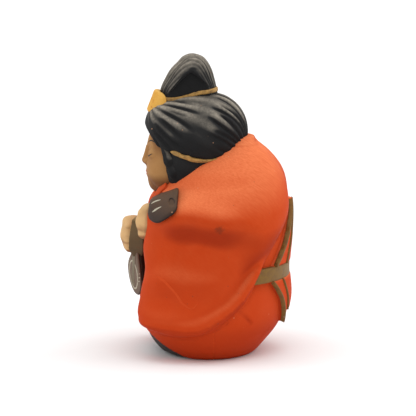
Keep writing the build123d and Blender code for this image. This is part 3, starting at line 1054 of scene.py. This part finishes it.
def painted_clay(name, paint_colour, deep, pale, patchy, fold, wear, specks, grain, strokes, bump, sheen, extra):
    """Matte paint on bisque clay."""
    def paint_it(tree, shader):
        # deep is the colour of the painted shade, fold its strength, and wear the strength of the painted highlight
        # with its wear
        brushed = shared(tree, "Brushed paint", Paint=paint_colour, Deep=deep, Pale=pale, Patchiness=patchy,
                         Fold_Depth=fold, Wear=wear)
        colour = brushed["Color"] if extra is None else extra(tree, brushed["Color"])
        dotted = shared(tree, "Specks and pinholes", Color=colour, Light=BARE_CLAY, Amount=specks)
        feed(tree, shader["Base Color"], dotted["Color"])
        feed(tree, shader["Roughness"], brushed["Roughness"])
        return shared(tree, "Clay surface", Grain=grain, Strokes=strokes, Pinholes=dotted["Pinholes"])["Height"]
    return finish(name, paint_it, sheen, bump)


def gilded(name, gold, ground, cover):
    """Gold paint on clay."""
    def paint_it(tree, shader):
        gilt = shared(tree, "Gold paint", Gold=gold, Ground=ground, Cover=cover)
        dotted = shared(tree, "Specks and pinholes", Color=gilt["Color"], Amount=0.6)
        feed(tree, shader["Base Color"], dotted["Color"])
        feed(tree, shader["Metallic"], gilt["Metal"])
        feed(tree, shader["Roughness"], gilt["Roughness"])
        return shared(tree, "Clay surface", Grain=0.8, Strokes=0.3, Pinholes=dotted["Pinholes"])["Height"]
    return finish(name, paint_it, 0.3, 0.5)


def lower_and_redder(tree, colour):
    """The robe's paint with painted shade, darker and redder towards the hem, and a scuff on the shoulder."""
    place = node(tree, "ShaderNodeTexCoord").outputs["Object"]
    height = node(tree, "ShaderNodeSeparateXYZ", None, Vector=place).outputs[2]
    # Painted shade: the paint grows darker and redder lower down
    low_down = spread(tree, height, 62.0 * UNIT * MM, 8.0 * UNIT * MM)
    colour = blend_colours(tree, times(tree, low_down, 0.55), colour, solid(194, 60, 17))
    scuff = tuple(from_left(4.0, 49.4, robe_all) * MM)
    gap = node(tree, "ShaderNodeVectorMath", {"operation": "DISTANCE"}, _0=place, _1=scuff).outputs["Value"]
    rag = times(tree, cloud(tree, in_mm(tree), 1.3, 3.0, 0.7), 0.004)
    scuffed = spread(tree, maths(tree, "ADD", gap, rag), 0.0040, 0.0026)
    return blend_colours(tree, times(tree, scuffed, 0.55), colour, solid(104, 46, 26))


def dust_and_highlight_on_ridges(tree, colour):
    """Black hair paint with a brown-grey bloom on its ridges, partly dust and partly a painted highlight on upward
    faces, with a few chips down to the clay.
    """
    ridge = spread(tree, mask(tree, "wear_and_light"), 0.28, 0.92)
    rag = times(tree, spread(tree, cloud(tree, in_mm(tree), 0.9, 4.0, 0.65), 0.32, 0.68), 0.55)
    bloom = times(tree, ridge, maths(tree, "ADD", 0.45, rag), True)
    # The bloom is dust on the ridges and a painted highlight where the hair faces up
    colour = blend_colours(tree, bloom, colour, solid(160, 151, 137))
    chips = spread(tree, cloud(tree, in_mm(tree), 0.62, 2.0, 0.5), 0.735, 0.76)
    return blend_colours(tree, times(tree, chips, ridge, True), colour, solid(142, 84, 60))


# Painted finishes: label, paint (or the name of a user's colour), colour of the painted shade in folds and on
# undersides, paler colour for patches and for the painted highlight on upward faces, then patchiness, shade depth,
# highlight with wear, specks, grain, strokes, bump, sheen and any extra work
PAINTS = {
    "orange_robe": ("Orange robe paint", "robe", (132, 33, 9), (248, 146, 94),
                    0.10, 0.75, 0.80, 0.45, 0.45, 0.30, 0.35, 0.08, lower_and_redder),
    "black_hair": ("Black hair paint", "hair", (17, 17, 18), (60, 58, 55),
                   0.40, 0.85, 0.2, 0.45, 0.6, 0.6, 0.5, 0.18, dust_and_highlight_on_ridges),
    "skin_ochre": ("Ochre skin paint", "skin", (96, 52, 30), (206, 162, 108),
                   0.25, 0.7, 0.7, 0.5, 0.5, 0.5, 0.35, 0.12, None),
    "hand_ochre": ("Pale hand paint", (210, 168, 114), (128, 78, 46), (222, 184, 136),
                   0.35, 0.85, 0.3, 0.6, 0.5, 0.5, 0.35, 0.25, None),
    "dark_brown": ("Dark lute paint", (48, 32, 24), (24, 15, 12), (102, 76, 54),
                   0.22, 0.7, 0.75, 0.6, 0.6, 0.6, 0.45, 0.3, None),
    "grey_tan": ("Soundboard paint", (104, 82, 68), (58, 40, 32), (138, 118, 98),
                 0.4, 0.7, 0.4, 0.6, 0.6, 0.6, 0.4, 0.25, None),
    "olive_brown": ("Lute neck paint", (134, 110, 70), (48, 36, 24), (150, 124, 86),
                    0.5, 0.7, 0.6, 0.5, 0.5, 0.5, 0.4, 0.3, None),
    "dark_under_robe": ("Under robe paint", (58, 53, 51), (24, 21, 20), (86, 78, 72),
                        0.5, 0.4, 0.4, 0.8, 0.7, 0.5, 0.5, 0.2, None),
    "bare_clay": ("Bare fired clay", "clay", (120, 74, 52), (214, 178, 150),
                  0.6, 0.5, 0.4, 0.9, 0.9, 0.6, 0.5, 0.15, None),
    "yellow_plaque": ("Yellow plaque paint", (208, 146, 34), (150, 88, 30), (240, 196, 112),
                      0.45, 0.5, 0.5, 0.5, 0.5, 0.5, 0.4, 0.3, None),
    "pale_stroke": ("Pale brush line", (176, 168, 146), (112, 98, 80), (206, 200, 182),
                    0.5, 0.3, 0.3, 0.3, 0.4, 0.4, 0.3, 0.2, None),
    "ink": ("Ink brush line", (38, 32, 30), (20, 17, 16), (72, 60, 52),
            0.4, 0.3, 0.3, 0.3, 0.4, 0.4, 0.3, 0.25, None),
    "dull_red": ("Dull red dab", (190, 110, 44), (122, 60, 30), (206, 140, 66),
                 0.5, 0.3, 0.3, 0.3, 0.4, 0.4, 0.3, 0.2, None),
    "lip_red": ("Lip paint", (176, 84, 62), (122, 50, 38), (196, 112, 86),
                0.4, 0.4, 0.3, 0.3, 0.4, 0.4, 0.3, 0.25, None),
}


def make_finishes(colours):
    """Every finish of the doll, by the name of its material slot or of its painted detail."""
    make_groups()
    made = {}
    for slot, (label, paint_colour, deep, pale, *amounts) in PAINTS.items():
        own = isinstance(paint_colour, str)
        paint_colour = (*getattr(colours, paint_colour), 1.0) if own else solid(*paint_colour)
        made[slot] = painted_clay(label, paint_colour, solid(*deep), solid(*pale), *amounts)
    made["old_gold"] = gilded("Gold sash paint", (*colours.gold, 1.0), solid(96, 62, 32), 0.75)
    made["hair_gold"] = gilded("Gold hair cord paint", solid(196, 152, 84), solid(84, 60, 38), 0.78)
    return made


FINISHES = {}


# What a user may change

def colour_choice(name, description, *chart):
    """A colour that a user may change, with its default as a paint chart gives it."""
    return FloatVectorProperty(name=name, description=description, subtype="COLOR", size=3, min=0.0, max=1.0,
                               default=tint(*chart))


class DollColours(bpy.types.PropertyGroup):
    robe: colour_choice("Robe", "Main colour of the robe paint", 194, 63, 16)
    hair: colour_choice("Hair", "Main colour of the hair paint", 35, 35, 36)
    gold: colour_choice("Gold", "Colour of the gold paint on the sash", 132, 100, 42)
    skin: colour_choice("Skin", "Main colour of the face", 164, 118, 70)
    clay: colour_choice("Clay", "Colour of the bare fired clay", 186, 138, 108)


class DollTooling(bpy.types.PropertyGroup):
    comb: FloatProperty(name="Comb Depth", description="How deep the comb marks in the hair are, as a share",
                        subtype="FACTOR", default=0.85, min=0.0, max=1.5)
    string_count: IntProperty(name="Strings", description="Strings on the lute", default=4, min=1, max=8)
    string_width: FloatProperty(name="String Width", description="Thickness of a string", subtype="DISTANCE",
                                unit="LENGTH", default=0.00026 * UNIT, min=0.0)
    seed: IntProperty(name="Seed", description="Seed of the uneven brush edges", default=7, min=0)


class DollStudio(bpy.types.PropertyGroup):
    camera_turn: FloatProperty(name="Camera Turn", description="Camera's turn from the doll's left side",
                               subtype="ANGLE", unit="ROTATION", default=0.0)
    camera_rise: FloatProperty(name="Camera Rise", description="Camera's angle above the floor",
                               subtype="ANGLE", unit="ROTATION", default=math.radians(10.0))
    frame_width: FloatProperty(name="Frame Width", description="Width that the picture takes in at the doll",
                               subtype="DISTANCE", unit="LENGTH", default=0.1498 * UNIT, min=0.01)
    floor_width: FloatProperty(name="Floor Width", description="Width of the round floor", subtype="DISTANCE",
                               unit="LENGTH", default=16.0, min=1.0)


# One operator for each piece or group of like pieces

class DollStep:
    """What every step shares."""
    bl_options = {"REGISTER", "UNDO"}

    def execute(self, context):
        """Makes the pieces, once the finishes are mixed."""
        if not FINISHES:
            FINISHES.update(make_finishes(context.scene.doll_colours))
        self.make(context.scene.doll_tooling)
        return {"FINISHED"}


class DOLL_OT_robe(DollStep, bpy.types.Operator):
    """Model the front and back of the robe, as two lapped half shells"""
    bl_idname = "doll.robe"
    bl_label = "Robe"

    def make(self, tooling):
        halves = ["robe_front_shell", "robe_back_shell"]
        for name, front in (("robe_front", True), ("robe_back", False)):
            sculpt(name, robe_half(front), 0.7, "orange_robe", robe_all, robe_marks, (0.0, 0.0),
                   [f"{name}_shell"], halves)


# Lines by depth and height, or by width and height, on the side that they are drawn from
SLEEVE_FOLD = [(-20.9, 31.6), (-17.3, 31.0), (-11.9, 26.3), (-8.3, 21.6), (-5.8, 20.4), (-3.6, 22.6)]
COLLAR_LINE = [(10.2, 62.5), (8.4, 59.4), (6.2, 55.8), (3.8, 52.2), (1.2, 48.8)]
NAPE_LINE = [(-13.2, 74.6), (-8.6, 72.9), (-4.2, 71.5), (0.0, 71.4), (3.8, 72.3)]
PEGBOX_STROKES = [((-16.8, 58.2), (-18.6, 57.4), (-20.2, 56.3)), ((-16.5, 56.3), (-18.2, 55.2), (-19.8, 53.9))]
# Painted lines on the face: name, places by width and height, half width, tapers and unevenness
EYES_AND_BROWS = [
    ("eye_lines", ((2.4, 72.6), (4.0, 71.8), (5.8, 71.6), (7.6, 72.2), (8.6, 72.9)), 0.26, (0.3, 0.3), 0.1),
    ("brow_lines", ((2.3, 76.0), (4.4, 77.0), (6.8, 77.0), (8.8, 76.0)), 0.24, (0.4, 0.5), 0.15),
]


class DOLL_OT_sleeves(DollStep, bpy.types.Operator):
    """Model both hanging sleeves with their shoulders, and a faint drawn fold on the left one"""
    bl_idname = "doll.sleeves"
    bl_label = "Sleeves"

    def make(self, tooling):
        for name, side, lift in (("left_sleeve", 1, 0.03), ("right_sleeve", -1, 0.015)):
            sculpt(name, sleeve_piece(side, lift), 0.6, "orange_robe", robe_all, robe_marks,
                   (3.0, (3.0, 3.0, 4.0)))
        path = [from_left(y, z, robe_all) for y, z in SLEEVE_FOLD]
        fold = stripe(path, 0.42, 0.10, robe_all, 0.5, (0.3, 0.3), 0.1, tooling.seed, 0.3)
        paint("sleeve_fold", [fold], "orange_robe")


class DOLL_OT_collars(DollStep, bpy.types.Operator):
    """Model the crossed neck bands, from the sides of the neck to the middle of the chest"""
    bl_idname = "doll.collars"
    bl_label = "Collars"

    def make(self, tooling):
        for name, side, proud in (("left_collar", 1, 1.4), ("right_collar", -1, 1.15)):
            path = [from_front(side * x, z, robe_body) for x, z in COLLAR_LINE]
            band = stripe(path, 1.9, proud, robe_body, 0.5, (0.05, 0.08), 0.04, tooling.seed)
            paint(name, [band], "orange_robe", nodes=[name])


# Bow: name, inner and outer half width at the sash, end height, above the sash, proud
PLEATS = [
    ("upper_centre_pleat", 0.0, 8.6, 55.4, True, 2.05, 0),
    ("upper_left_pleat", 8.6, 16.8, 55.4, True, 1.75, 1),
    ("upper_right_pleat", 8.6, 16.8, 55.4, True, 1.75, -1),
    ("lower_centre_tail", 0.0, 12.2, 16.0, False, 2.05, 0),
    ("lower_left_tail", 12.2, 18.4, 12.2, False, 1.75, 1),
    ("lower_right_tail", 12.2, 18.4, 12.2, False, 1.75, -1),
]


class DOLL_OT_bow(DollStep, bpy.types.Operator):
    """Model the folds and tails of the bow at the back, which fan out of the sash"""
    bl_idname = "doll.bow"
    bl_label = "Bow"

    def make(self, tooling):
        for name, narrow, wide, end, upper, proud, side in PLEATS:
            sash_edge, tip = (33.6, 58.0) if upper else (28.0, 0.0)
            form = relief(proud, fan(narrow, wide, sash_edge, tip, end, side))
            sculpt(name, form, 0.38, "orange_robe", robe_all, light_and_wear, (2.5, 2.5))


def trim_path(half_width, upper, end, side, form):
    """Where a gold edge runs up or down the bow from the sash."""
    sash_edge, tip = (33.4, 58.0) if upper else (28.2, 0.0)
    path = []
    for step in range(7):
        height = sash_edge + (end - sash_edge) * step / 6
        share = (height - tip) / (sash_edge - tip)
        path.append(from_behind(side * half_width * share, height, form))
    return path


class DOLL_OT_gold(DollStep, bpy.types.Operator):
    """Model the gold sash and the gold edges of the bow, four above it and four below"""
    bl_idname = "doll.gold"
    bl_label = "Sash and gold edges"

    def make(self, tooling):
        form = relief(1.8, level_band(28.2, 33.5, 16.3), 0.7)
        sculpt("sash", form, 0.38, "old_gold", robe_all, light_and_wear)
        for name, upper, lines in (("upper_gold_trim", True, ((16.0, 55.2, 0.75), (8.7, 55.2, 0.45))),
                                   ("lower_gold_trim", False, ((17.7, 12.2, 0.52), (12.1, 16.4, 0.48)))):
            edges = []
            for half_width, end, wide in lines:
                for side in (1, -1):
                    path = trim_path(half_width, upper, end, side, robe_body)
                    edges.append(stripe(path, wide, 2.35, robe_body, 0.5, (0.02, 0.45), 0.10,
                                        tooling.seed + len(edges), -1.1))
            paint(name, edges, "old_gold", nodes=[name])


class DOLL_OT_head(DollStep, bpy.types.Operator):
    """Model the head and paint its closed eyes, brows and lips"""
    bl_idname = "doll.head"
    bl_label = "Head and face"

    def make(self, tooling):
        form = face_and_neck
        sculpt("head", form, 0.4, "skin_ochre", doll_all, light_and_wear, (1.0, 0.0), ["head_shell"])
        for name, places, wide, ends, ragged in EYES_AND_BROWS:
            lines = []
            for side in (1, -1):
                path = [from_front(side * x, z, form) for x, z in places]
                lines.append(stripe(path, wide, 0.07, form, 0.2, ends, ragged, tooling.seed, 0.15))
            paint(name, lines, "ink", "black_hair")
        lips = []
        for z, wide in ((65.3, 0.42), (64.4, 0.40)):
            line = [from_front(x, z + 0.10 * abs(x), form) for x in (-1.9, -0.9, 0.0, 0.9, 1.9)]
            lips.append(stripe(line, wide, 0.08, form, 0.2, (0.45, 0.45), 0.08, tooling.seed, 0.15))
        paint("lips", lips, "lip_red", "skin_ochre")


class DOLL_OT_hair(DollStep, bpy.types.Operator):
    """Model the combed hair above and below the nape cord, and a lock in front of each ear"""
    bl_idname = "doll.hair"
    bl_label = "Hair"

    def make(self, tooling):
        for name, form, step, comb in (("hair_cap", upper_hair, 0.36, 1.0), ("nape_hair", lower_hair, 0.36, 1.0),
                                       ("left_side_lock", left_lock, 0.26, 0.5),
                                       ("right_side_lock", lambda p: left_lock(flip(p)), 0.26, 0.5)):
            sculpt(name, form, step, "black_hair", doll_all, comb_cap(tooling.comb * comb))


class DOLL_OT_topknot(DollStep, bpy.types.Operator):
    """Model the looped topknot, with its strands pressed in"""
    bl_idname = "doll.topknot"
    bl_label = "Topknot"

    def make(self, tooling):
        sculpt("topknot", knot, 0.3, "black_hair", doll_all, comb_knot(tooling.comb), (1.0, 1.0))


class DOLL_OT_cords(DollStep, bpy.types.Operator):
    """Paint the uneven gold cords round the topknot and at the nape"""
    bl_idname = "doll.cords"
    bl_label = "Hair cords"

    def make(self, tooling):
        ring = []
        for step in range(33):
            angle = math.radians(-90 + 360 * step / 32)
            outward = np.array([math.cos(angle), math.sin(angle), 0.0])
            x, y = 5.0 * outward[0], -6.0 + 6.0 * outward[1]
            ring.append(drop(at(x, y, 93.4 + (y + 6.0) * 0.29) + outward * 12.0 * UNIT, -outward, knot))
        band = stripe(ring, 0.72, 0.42, knot, 0.4, (0.01, 0.01), 0.14, tooling.seed)
        paint("topknot_cord", [band], "hair_gold", nodes=["topknot_cord"])
        left = [from_left(y, z, hair_mass) for y, z in NAPE_LINE]
        lines = [stripe(path, lambda s: 0.85 - 0.45 * ease(s, 0.55, 1.0), 0.38, hair_mass, 0.4, (0.08, 0.35), 0.16,
                        tooling.seed + 3, 1.6) for path in (left, [flip(p) for p in left])]
        paint("nape_cord", lines, "hair_gold", nodes=["nape_cord"])


class DOLL_OT_plaque(DollStep, bpy.types.Operator):
    """Model the yellow plaque at the front of the topknot, with a few dull dabs"""
    bl_idname = "doll.plaque"
    bl_label = "Hair plaque"

    def make(self, tooling):
        sculpt("hair_plaque", plaque_form, 0.22, "yellow_plaque", doll_all, light_and_wear, (1.0, 1.0), ["hair_ornament"])
        dabs = []
        for side in (1, -1):
            for x, z, drop_by in ((1.2, 92.4, 1.0), (2.6, 91.6, 1.3), (1.0, 90.2, 0.9), (2.9, 89.4, 0.8)):
                ends = (from_front(side * x, z, plaque_form),
                        from_front(side * (x + 0.5), z - drop_by, plaque_form))
                dabs.append(stripe(dash(*ends), 0.20, 0.05, plaque_form, 0.2, (0.4, 0.4), 0.2, tooling.seed, 0.12))
        paint("plaque_dabs", dabs, "dull_red", "yellow_plaque")


class DOLL_OT_hands(DollStep, bpy.types.Operator):
    """Model the left hand round the neck of the lute, and the right hand over its strings"""
    bl_idname = "doll.hands"
    bl_label = "Hands"

    def make(self, tooling):
        for name, form in HANDS.items():
            sculpt(name, form, 0.26, "hand_ochre", by_robe(form), light_and_wear, slot="skin_ochre")


def string_tree():
    """Geometry nodes that stretch some strings over the lute's face."""
    tree = bpy.data.node_groups.new("Lute strings", "GeometryNodeTree")
    for label, kind in {"Geometry": "Geometry", "Count": "Int", "Width": "Float", "Low Spread": "Float",
                        "Top Spread": "Float", "Start": "Vector", "End": "Vector", "Across": "Vector",
                        "Seed": "Int", "Material": "Material"}.items():
        tree.interface.new_socket(label, in_out="INPUT", socket_type="NodeSocket" + kind)
    tree.interface.new_socket("Geometry", in_out="OUTPUT", socket_type="NodeSocketGeometry")
    give = tree.nodes.new("NodeGroupInput").outputs

    def add(kind, settings=None, **inputs):
        return node(tree, "GeometryNode" + kind, settings, **inputs).outputs[0]
    row = add("MeshLine", {"mode": "OFFSET"}, Count=give["Count"], Offset=(0.0, 0.0, 0.0))
    last = maths(tree, "MAXIMUM", maths(tree, "SUBTRACT", give["Count"], 1.0), 1.0)
    share = maths(tree, "SUBTRACT", maths(tree, "DIVIDE", add("InputIndex"), last), 0.5)
    noted = add("StoreNamedAttribute", {"data_type": "FLOAT", "domain": "POINT"}, Geometry=row, Name="share",
                Value=share)
    line = add("CurvePrimitiveLine", Start=give["Start"], End=give["End"])
    line = add("ResampleCurve", Curve=line, Count=14)
    real = add("RealizeInstances", Geometry=add("InstanceOnPoints", Points=noted, Instance=line))
    which = add("InputNamedAttribute", {"data_type": "FLOAT"}, Name="share")
    reach = spread(tree, add("SplineParameter"), 0.0, 1.0, give["Low Spread"], give["Top Spread"])
    move = node(tree, "ShaderNodeVectorMath", {"operation": "SCALE"}, _0=give["Across"],
                Scale=times(tree, reach, which)).outputs[0]
    fanned = add("SetPosition", Geometry=real, Offset=move)
    uneven = node(tree, "FunctionNodeRandomValue", {"data_type": "FLOAT"}, _2=0.8, _3=1.2, Seed=give["Seed"])
    sized = add("SetCurveRadius", Curve=fanned, Radius=uneven.outputs[1])
    ring = add("CurvePrimitiveCircle", Resolution=6, Radius=times(tree, give["Width"], 0.5))
    tube = add("CurveToMesh", Curve=sized, Profile_Curve=ring, Fill_Caps=True)
    dressed = add("SetMaterial", Geometry=add("RealizeInstances", Geometry=tube), Material=give["Material"])
    feed(tree, tree.nodes.new("NodeGroupOutput").inputs[0], dressed)
    return tree


def stretch_strings(tooling, material):
    """The strings as one plain mesh."""
    tree = string_tree()
    maker = bpy.data.objects.new("string_maker", bpy.data.meshes.new("string_maker"))
    bpy.context.scene.collection.objects.link(maker)
    nodes = maker.modifiers.new("Strings", "NODES")
    nodes.node_group = tree
    values = {"Count": tooling.string_count, "Width": tooling.string_width, "Low Spread": 2.6 * UNIT * MM,
              "Top Spread": 1.7 * UNIT * MM, "Start": on_lute(0, -3.6, 1.2) * MM,
              "End": on_lute(0, 9.6, 1.25) * MM, "Across": LUTE_ACROSS, "Seed": tooling.seed,
              "Material": material}
    for socket in tree.interface.items_tree:
        if socket.in_out == "INPUT" and socket.name in values:
            value = values[socket.name]
            nodes[socket.identifier] = [float(v) for v in value] if isinstance(value, np.ndarray) else value
    bpy.context.view_layer.update()
    ready = maker.evaluated_get(bpy.context.evaluated_depsgraph_get())
    mesh = bpy.data.meshes.new_from_object(ready)
    mesh.name = "lute_strings"
    maker.modifiers.clear()
    bpy.data.objects.remove(maker)
    piece = bpy.data.objects.new("lute_strings", mesh)
    bpy.context.scene.collection.objects.link(piece)
    return piece


def dash(start, end):
    """A short straight line of three places."""
    return [start, (start + end) / 2, end]


def by_robe(form):
    """A form with the robe behind it, for finding its folds."""
    return lambda places: np.minimum(form(places), robe_all(places))


class DOLL_OT_lute(DollStep, bpy.types.Operator):
    """Model the lute's body, ridged neck and leaf-shaped pegbox, with its painted lines and strings"""
    bl_idname = "doll.lute"
    bl_label = "Lute"

    def make(self, tooling):
        for name, form, slot_name, spare in (("lute_bowl", bowl_form, "dark_brown", 2.0),
                                             ("lute_soundboard", board_form, "grey_tan", 2.0),
                                             ("lute_neck", neck_form, "olive_brown", 2.0),
                                             ("lute_pegbox", pegbox_form, "dark_brown", (10.0, 3.0, 3.0))):
            sculpt(name, form, 0.26, slot_name, by_robe(form), light_and_wear, (2.0, spare))
        ring = [on_lute(4.4 * math.cos(a), 0.6 + 5.6 * math.sin(a), 2.0)
                for a in (math.radians(10 * step) for step in range(37))]
        lines = [stripe(ring, 0.30, 0.10, board_form, 0.3, (0.01, 0.01), 0.15, 4, 0.15)]
        for along in (-2.6, -0.9, 0.8):
            for side in (1, -1):
                path = dash(on_lute(side * 5.2, along + 4.0, 2.0), on_lute(side * 6.2, along + 4.8, 2.0))
                lines.append(stripe(path, 0.22, 0.08, board_form, 0.3, (0.3, 0.3), 0.1, 5, 0.1))
        paint("soundboard_lines", lines, "pale_stroke", "grey_tan")
        strokes = []
        for places in PEGBOX_STROKES:
            path = [from_left(y, z, pegbox_form) for y, z in places]
            strokes.append(stripe(path, 0.36, 0.10, pegbox_form, 0.3, (0.3, 0.3), 0.2, 6, 0.15))
        paint("pegbox_strokes", strokes, "pale_stroke", "dark_brown")
        keep(stretch_strings(tooling, FINISHES["pale_stroke"]), "olive_brown")


def under_robe(places):
    """The dark under-robe, a little way inside the arch."""
    x, y, z = measured(places)
    slab = UNIT * np.maximum(np.maximum(np.abs(x) - 19.2, z - 8.8), y + 6.0)
    return meet(robe_body(places) + 0.5 * UNIT, slab, 0.5)


class DOLL_OT_foot(DollStep, bpy.types.Operator):
    """Model the dark under-robe in the arch and finish the base disc"""
    bl_idname = "doll.foot"
    bl_label = "Foot"

    def make(self, tooling):
        sculpt("under_robe", under_robe, 0.4, "dark_under_robe", robe_all, light_and_wear, (1.0, 1.0), ["under_hem_panel"])
        for slot_held in bpy.data.objects["base_disc"].material_slots:
            slot_held.material = FINISHES["bare_clay"]


# Broad lights: name, where each comes from, how soft it is in degrees, and its strength
LIGHTS = [
    ("Top light", (0.10, 0.10, 1.0), 70.0, 1.5),
    ("Back light", (-0.25, 0.90, 0.50), 60.0, 0.75),
    ("Front light", (-0.15, -0.95, 0.35), 60.0, 0.65),
]


class DOLL_OT_stage(bpy.types.Operator):
    """Set the pale floor, the soft lights and the camera"""
    bl_idname = "doll.stage"
    bl_label = "Studio"
    bl_options = {"REGISTER", "UNDO"}

    def execute(self, context):
        """Lays out the studio."""
        scene = context.scene
        studio = scene.doll_studio
        self.lay_floor(studio)
        self.hang_lights(scene)
        self.place_camera(scene, studio)
        scene.view_settings.view_transform = "Standard"
        return {"FINISHED"}

    def lay_floor(self, studio):
        """A wide pale floor, with a few rings so that it can dip and rise a little."""
        turns, radii = 72, [0.0, 60.0, 200.0, 800.0, 0.5 * studio.floor_width / MM]
        points = [(r * math.cos(2 * math.pi * k / turns), r * math.sin(2 * math.pi * k / turns), WHOLE_LOW[2])
                  for r in radii for k in range(turns)]
        faces = []
        for inner in range(0, turns * (len(radii) - 1), turns):
            outer = inner + turns
            faces += [(inner + j, outer + j, outer + (j + 1) % turns, inner + (j + 1) % turns) for j in range(turns)]
        white = bpy.data.materials.new("Pale floor")
        white.use_nodes = True
        tree = white.node_tree
        shader = tree.nodes["Principled BSDF"]
        greyer, whiter = (0.92, 0.92, 0.92, 1.0), (0.95, 0.95, 0.95, 1.0)
        tone = blend_colours(tree, cloud(tree, in_mm(tree), 0.05), greyer, whiter)
        feed(tree, shader.inputs["Base Color"], tone)
        shader.inputs["Roughness"].default_value = 0.9
        shader.inputs["Specular IOR Level"].default_value = 0.1
        floor = build("floor", np.array(points), faces, white)

        def close_up(shell):
            bmesh.ops.remove_doubles(shell, verts=shell.verts, dist=1e-6)
            bmesh.ops.reverse_faces(shell, faces=[f for f in shell.faces if f.normal.z < 0])
        with_shell(floor, close_up)

    def hang_lights(self, scene):
        """A broad light overhead, softer ones before and behind the doll, and a white surround."""
        world = bpy.data.worlds.new("Surround")
        world.use_nodes = True
        world.node_tree.nodes["Background"].inputs[0].default_value = (1.0, 1.0, 1.0, 1.0)
        world.node_tree.nodes["Background"].inputs[1].default_value = 0.62
        scene.world = world
        for name, source, soft, power in LIGHTS:
            lamp = bpy.data.lights.new(name, "SUN")
            lamp.angle = math.radians(soft)
            lamp.energy = power
            holder = bpy.data.objects.new(name, lamp)
            holder.rotation_euler = mathutils.Vector(tuple(-c for c in source)).to_track_quat("-Z", "Y").to_euler()
            scene.collection.objects.link(holder)

    def place_camera(self, scene, studio):
        """A long lens at the doll's left side."""
        target = at(0.0, 0.0, 51.7) * MM
        lens, sensor = 320.0, 36.0
        distance = studio.frame_width * lens / sensor
        turn, rise = studio.camera_turn, studio.camera_rise
        away = np.array([math.cos(turn) * math.cos(rise), math.sin(turn) * math.cos(rise), math.sin(rise)])
        camera = bpy.data.cameras.new("Camera")
        camera.lens = lens
        camera.sensor_width = sensor
        camera.clip_start = 0.01
        holder = bpy.data.objects.new("Camera", camera)
        holder.location = tuple(target + away * distance)
        holder.rotation_euler = mathutils.Vector(tuple(-away)).to_track_quat("-Z", "Y").to_euler()
        scene.collection.objects.link(holder)
        bpy.context.scene.camera = holder


STEPS = [DOLL_OT_stage, DOLL_OT_robe, DOLL_OT_sleeves, DOLL_OT_collars, DOLL_OT_bow, DOLL_OT_gold, DOLL_OT_head,
         DOLL_OT_hair, DOLL_OT_topknot, DOLL_OT_cords, DOLL_OT_plaque, DOLL_OT_hands, DOLL_OT_lute, DOLL_OT_foot]


class DOLL_PT_panel(bpy.types.Panel):
    """Sizes, colours and steps of the doll"""
    bl_idname = "DOLL_PT_panel"
    bl_label = "Clay lute player"
    bl_space_type = "VIEW_3D"
    bl_region_type = "UI"
    bl_category = "Doll"

    def draw(self, context):
        """Lists the values and the steps."""
        for values in (context.scene.doll_colours, context.scene.doll_tooling, context.scene.doll_studio):
            for key in values.__annotations__:
                self.layout.prop(values, key)
        for step in STEPS:
            self.layout.operator(step.bl_idname)


CLASSES = [DollColours, DollTooling, DollStudio, *STEPS, DOLL_PT_panel]


def register():
    """Adds the panel, the steps and their values to Blender."""
    for each in CLASSES:
        bpy.utils.register_class(each)
    bpy.types.Scene.doll_colours = PointerProperty(type=DollColours)
    bpy.types.Scene.doll_tooling = PointerProperty(type=DollTooling)
    bpy.types.Scene.doll_studio = PointerProperty(type=DollStudio)


def unregister():
    """Takes them all out again."""
    for name in ("doll_colours", "doll_tooling", "doll_studio"):
        delattr(bpy.types.Scene, name)
    for each in reversed(CLASSES):
        bpy.utils.unregister_class(each)


def main():
    """Makes the whole doll."""
    register()
    for step in STEPS:
        group, name = step.bl_idname.split(".")
        getattr(getattr(bpy.ops, group), name)()


if __name__ == "__main__":
    main()
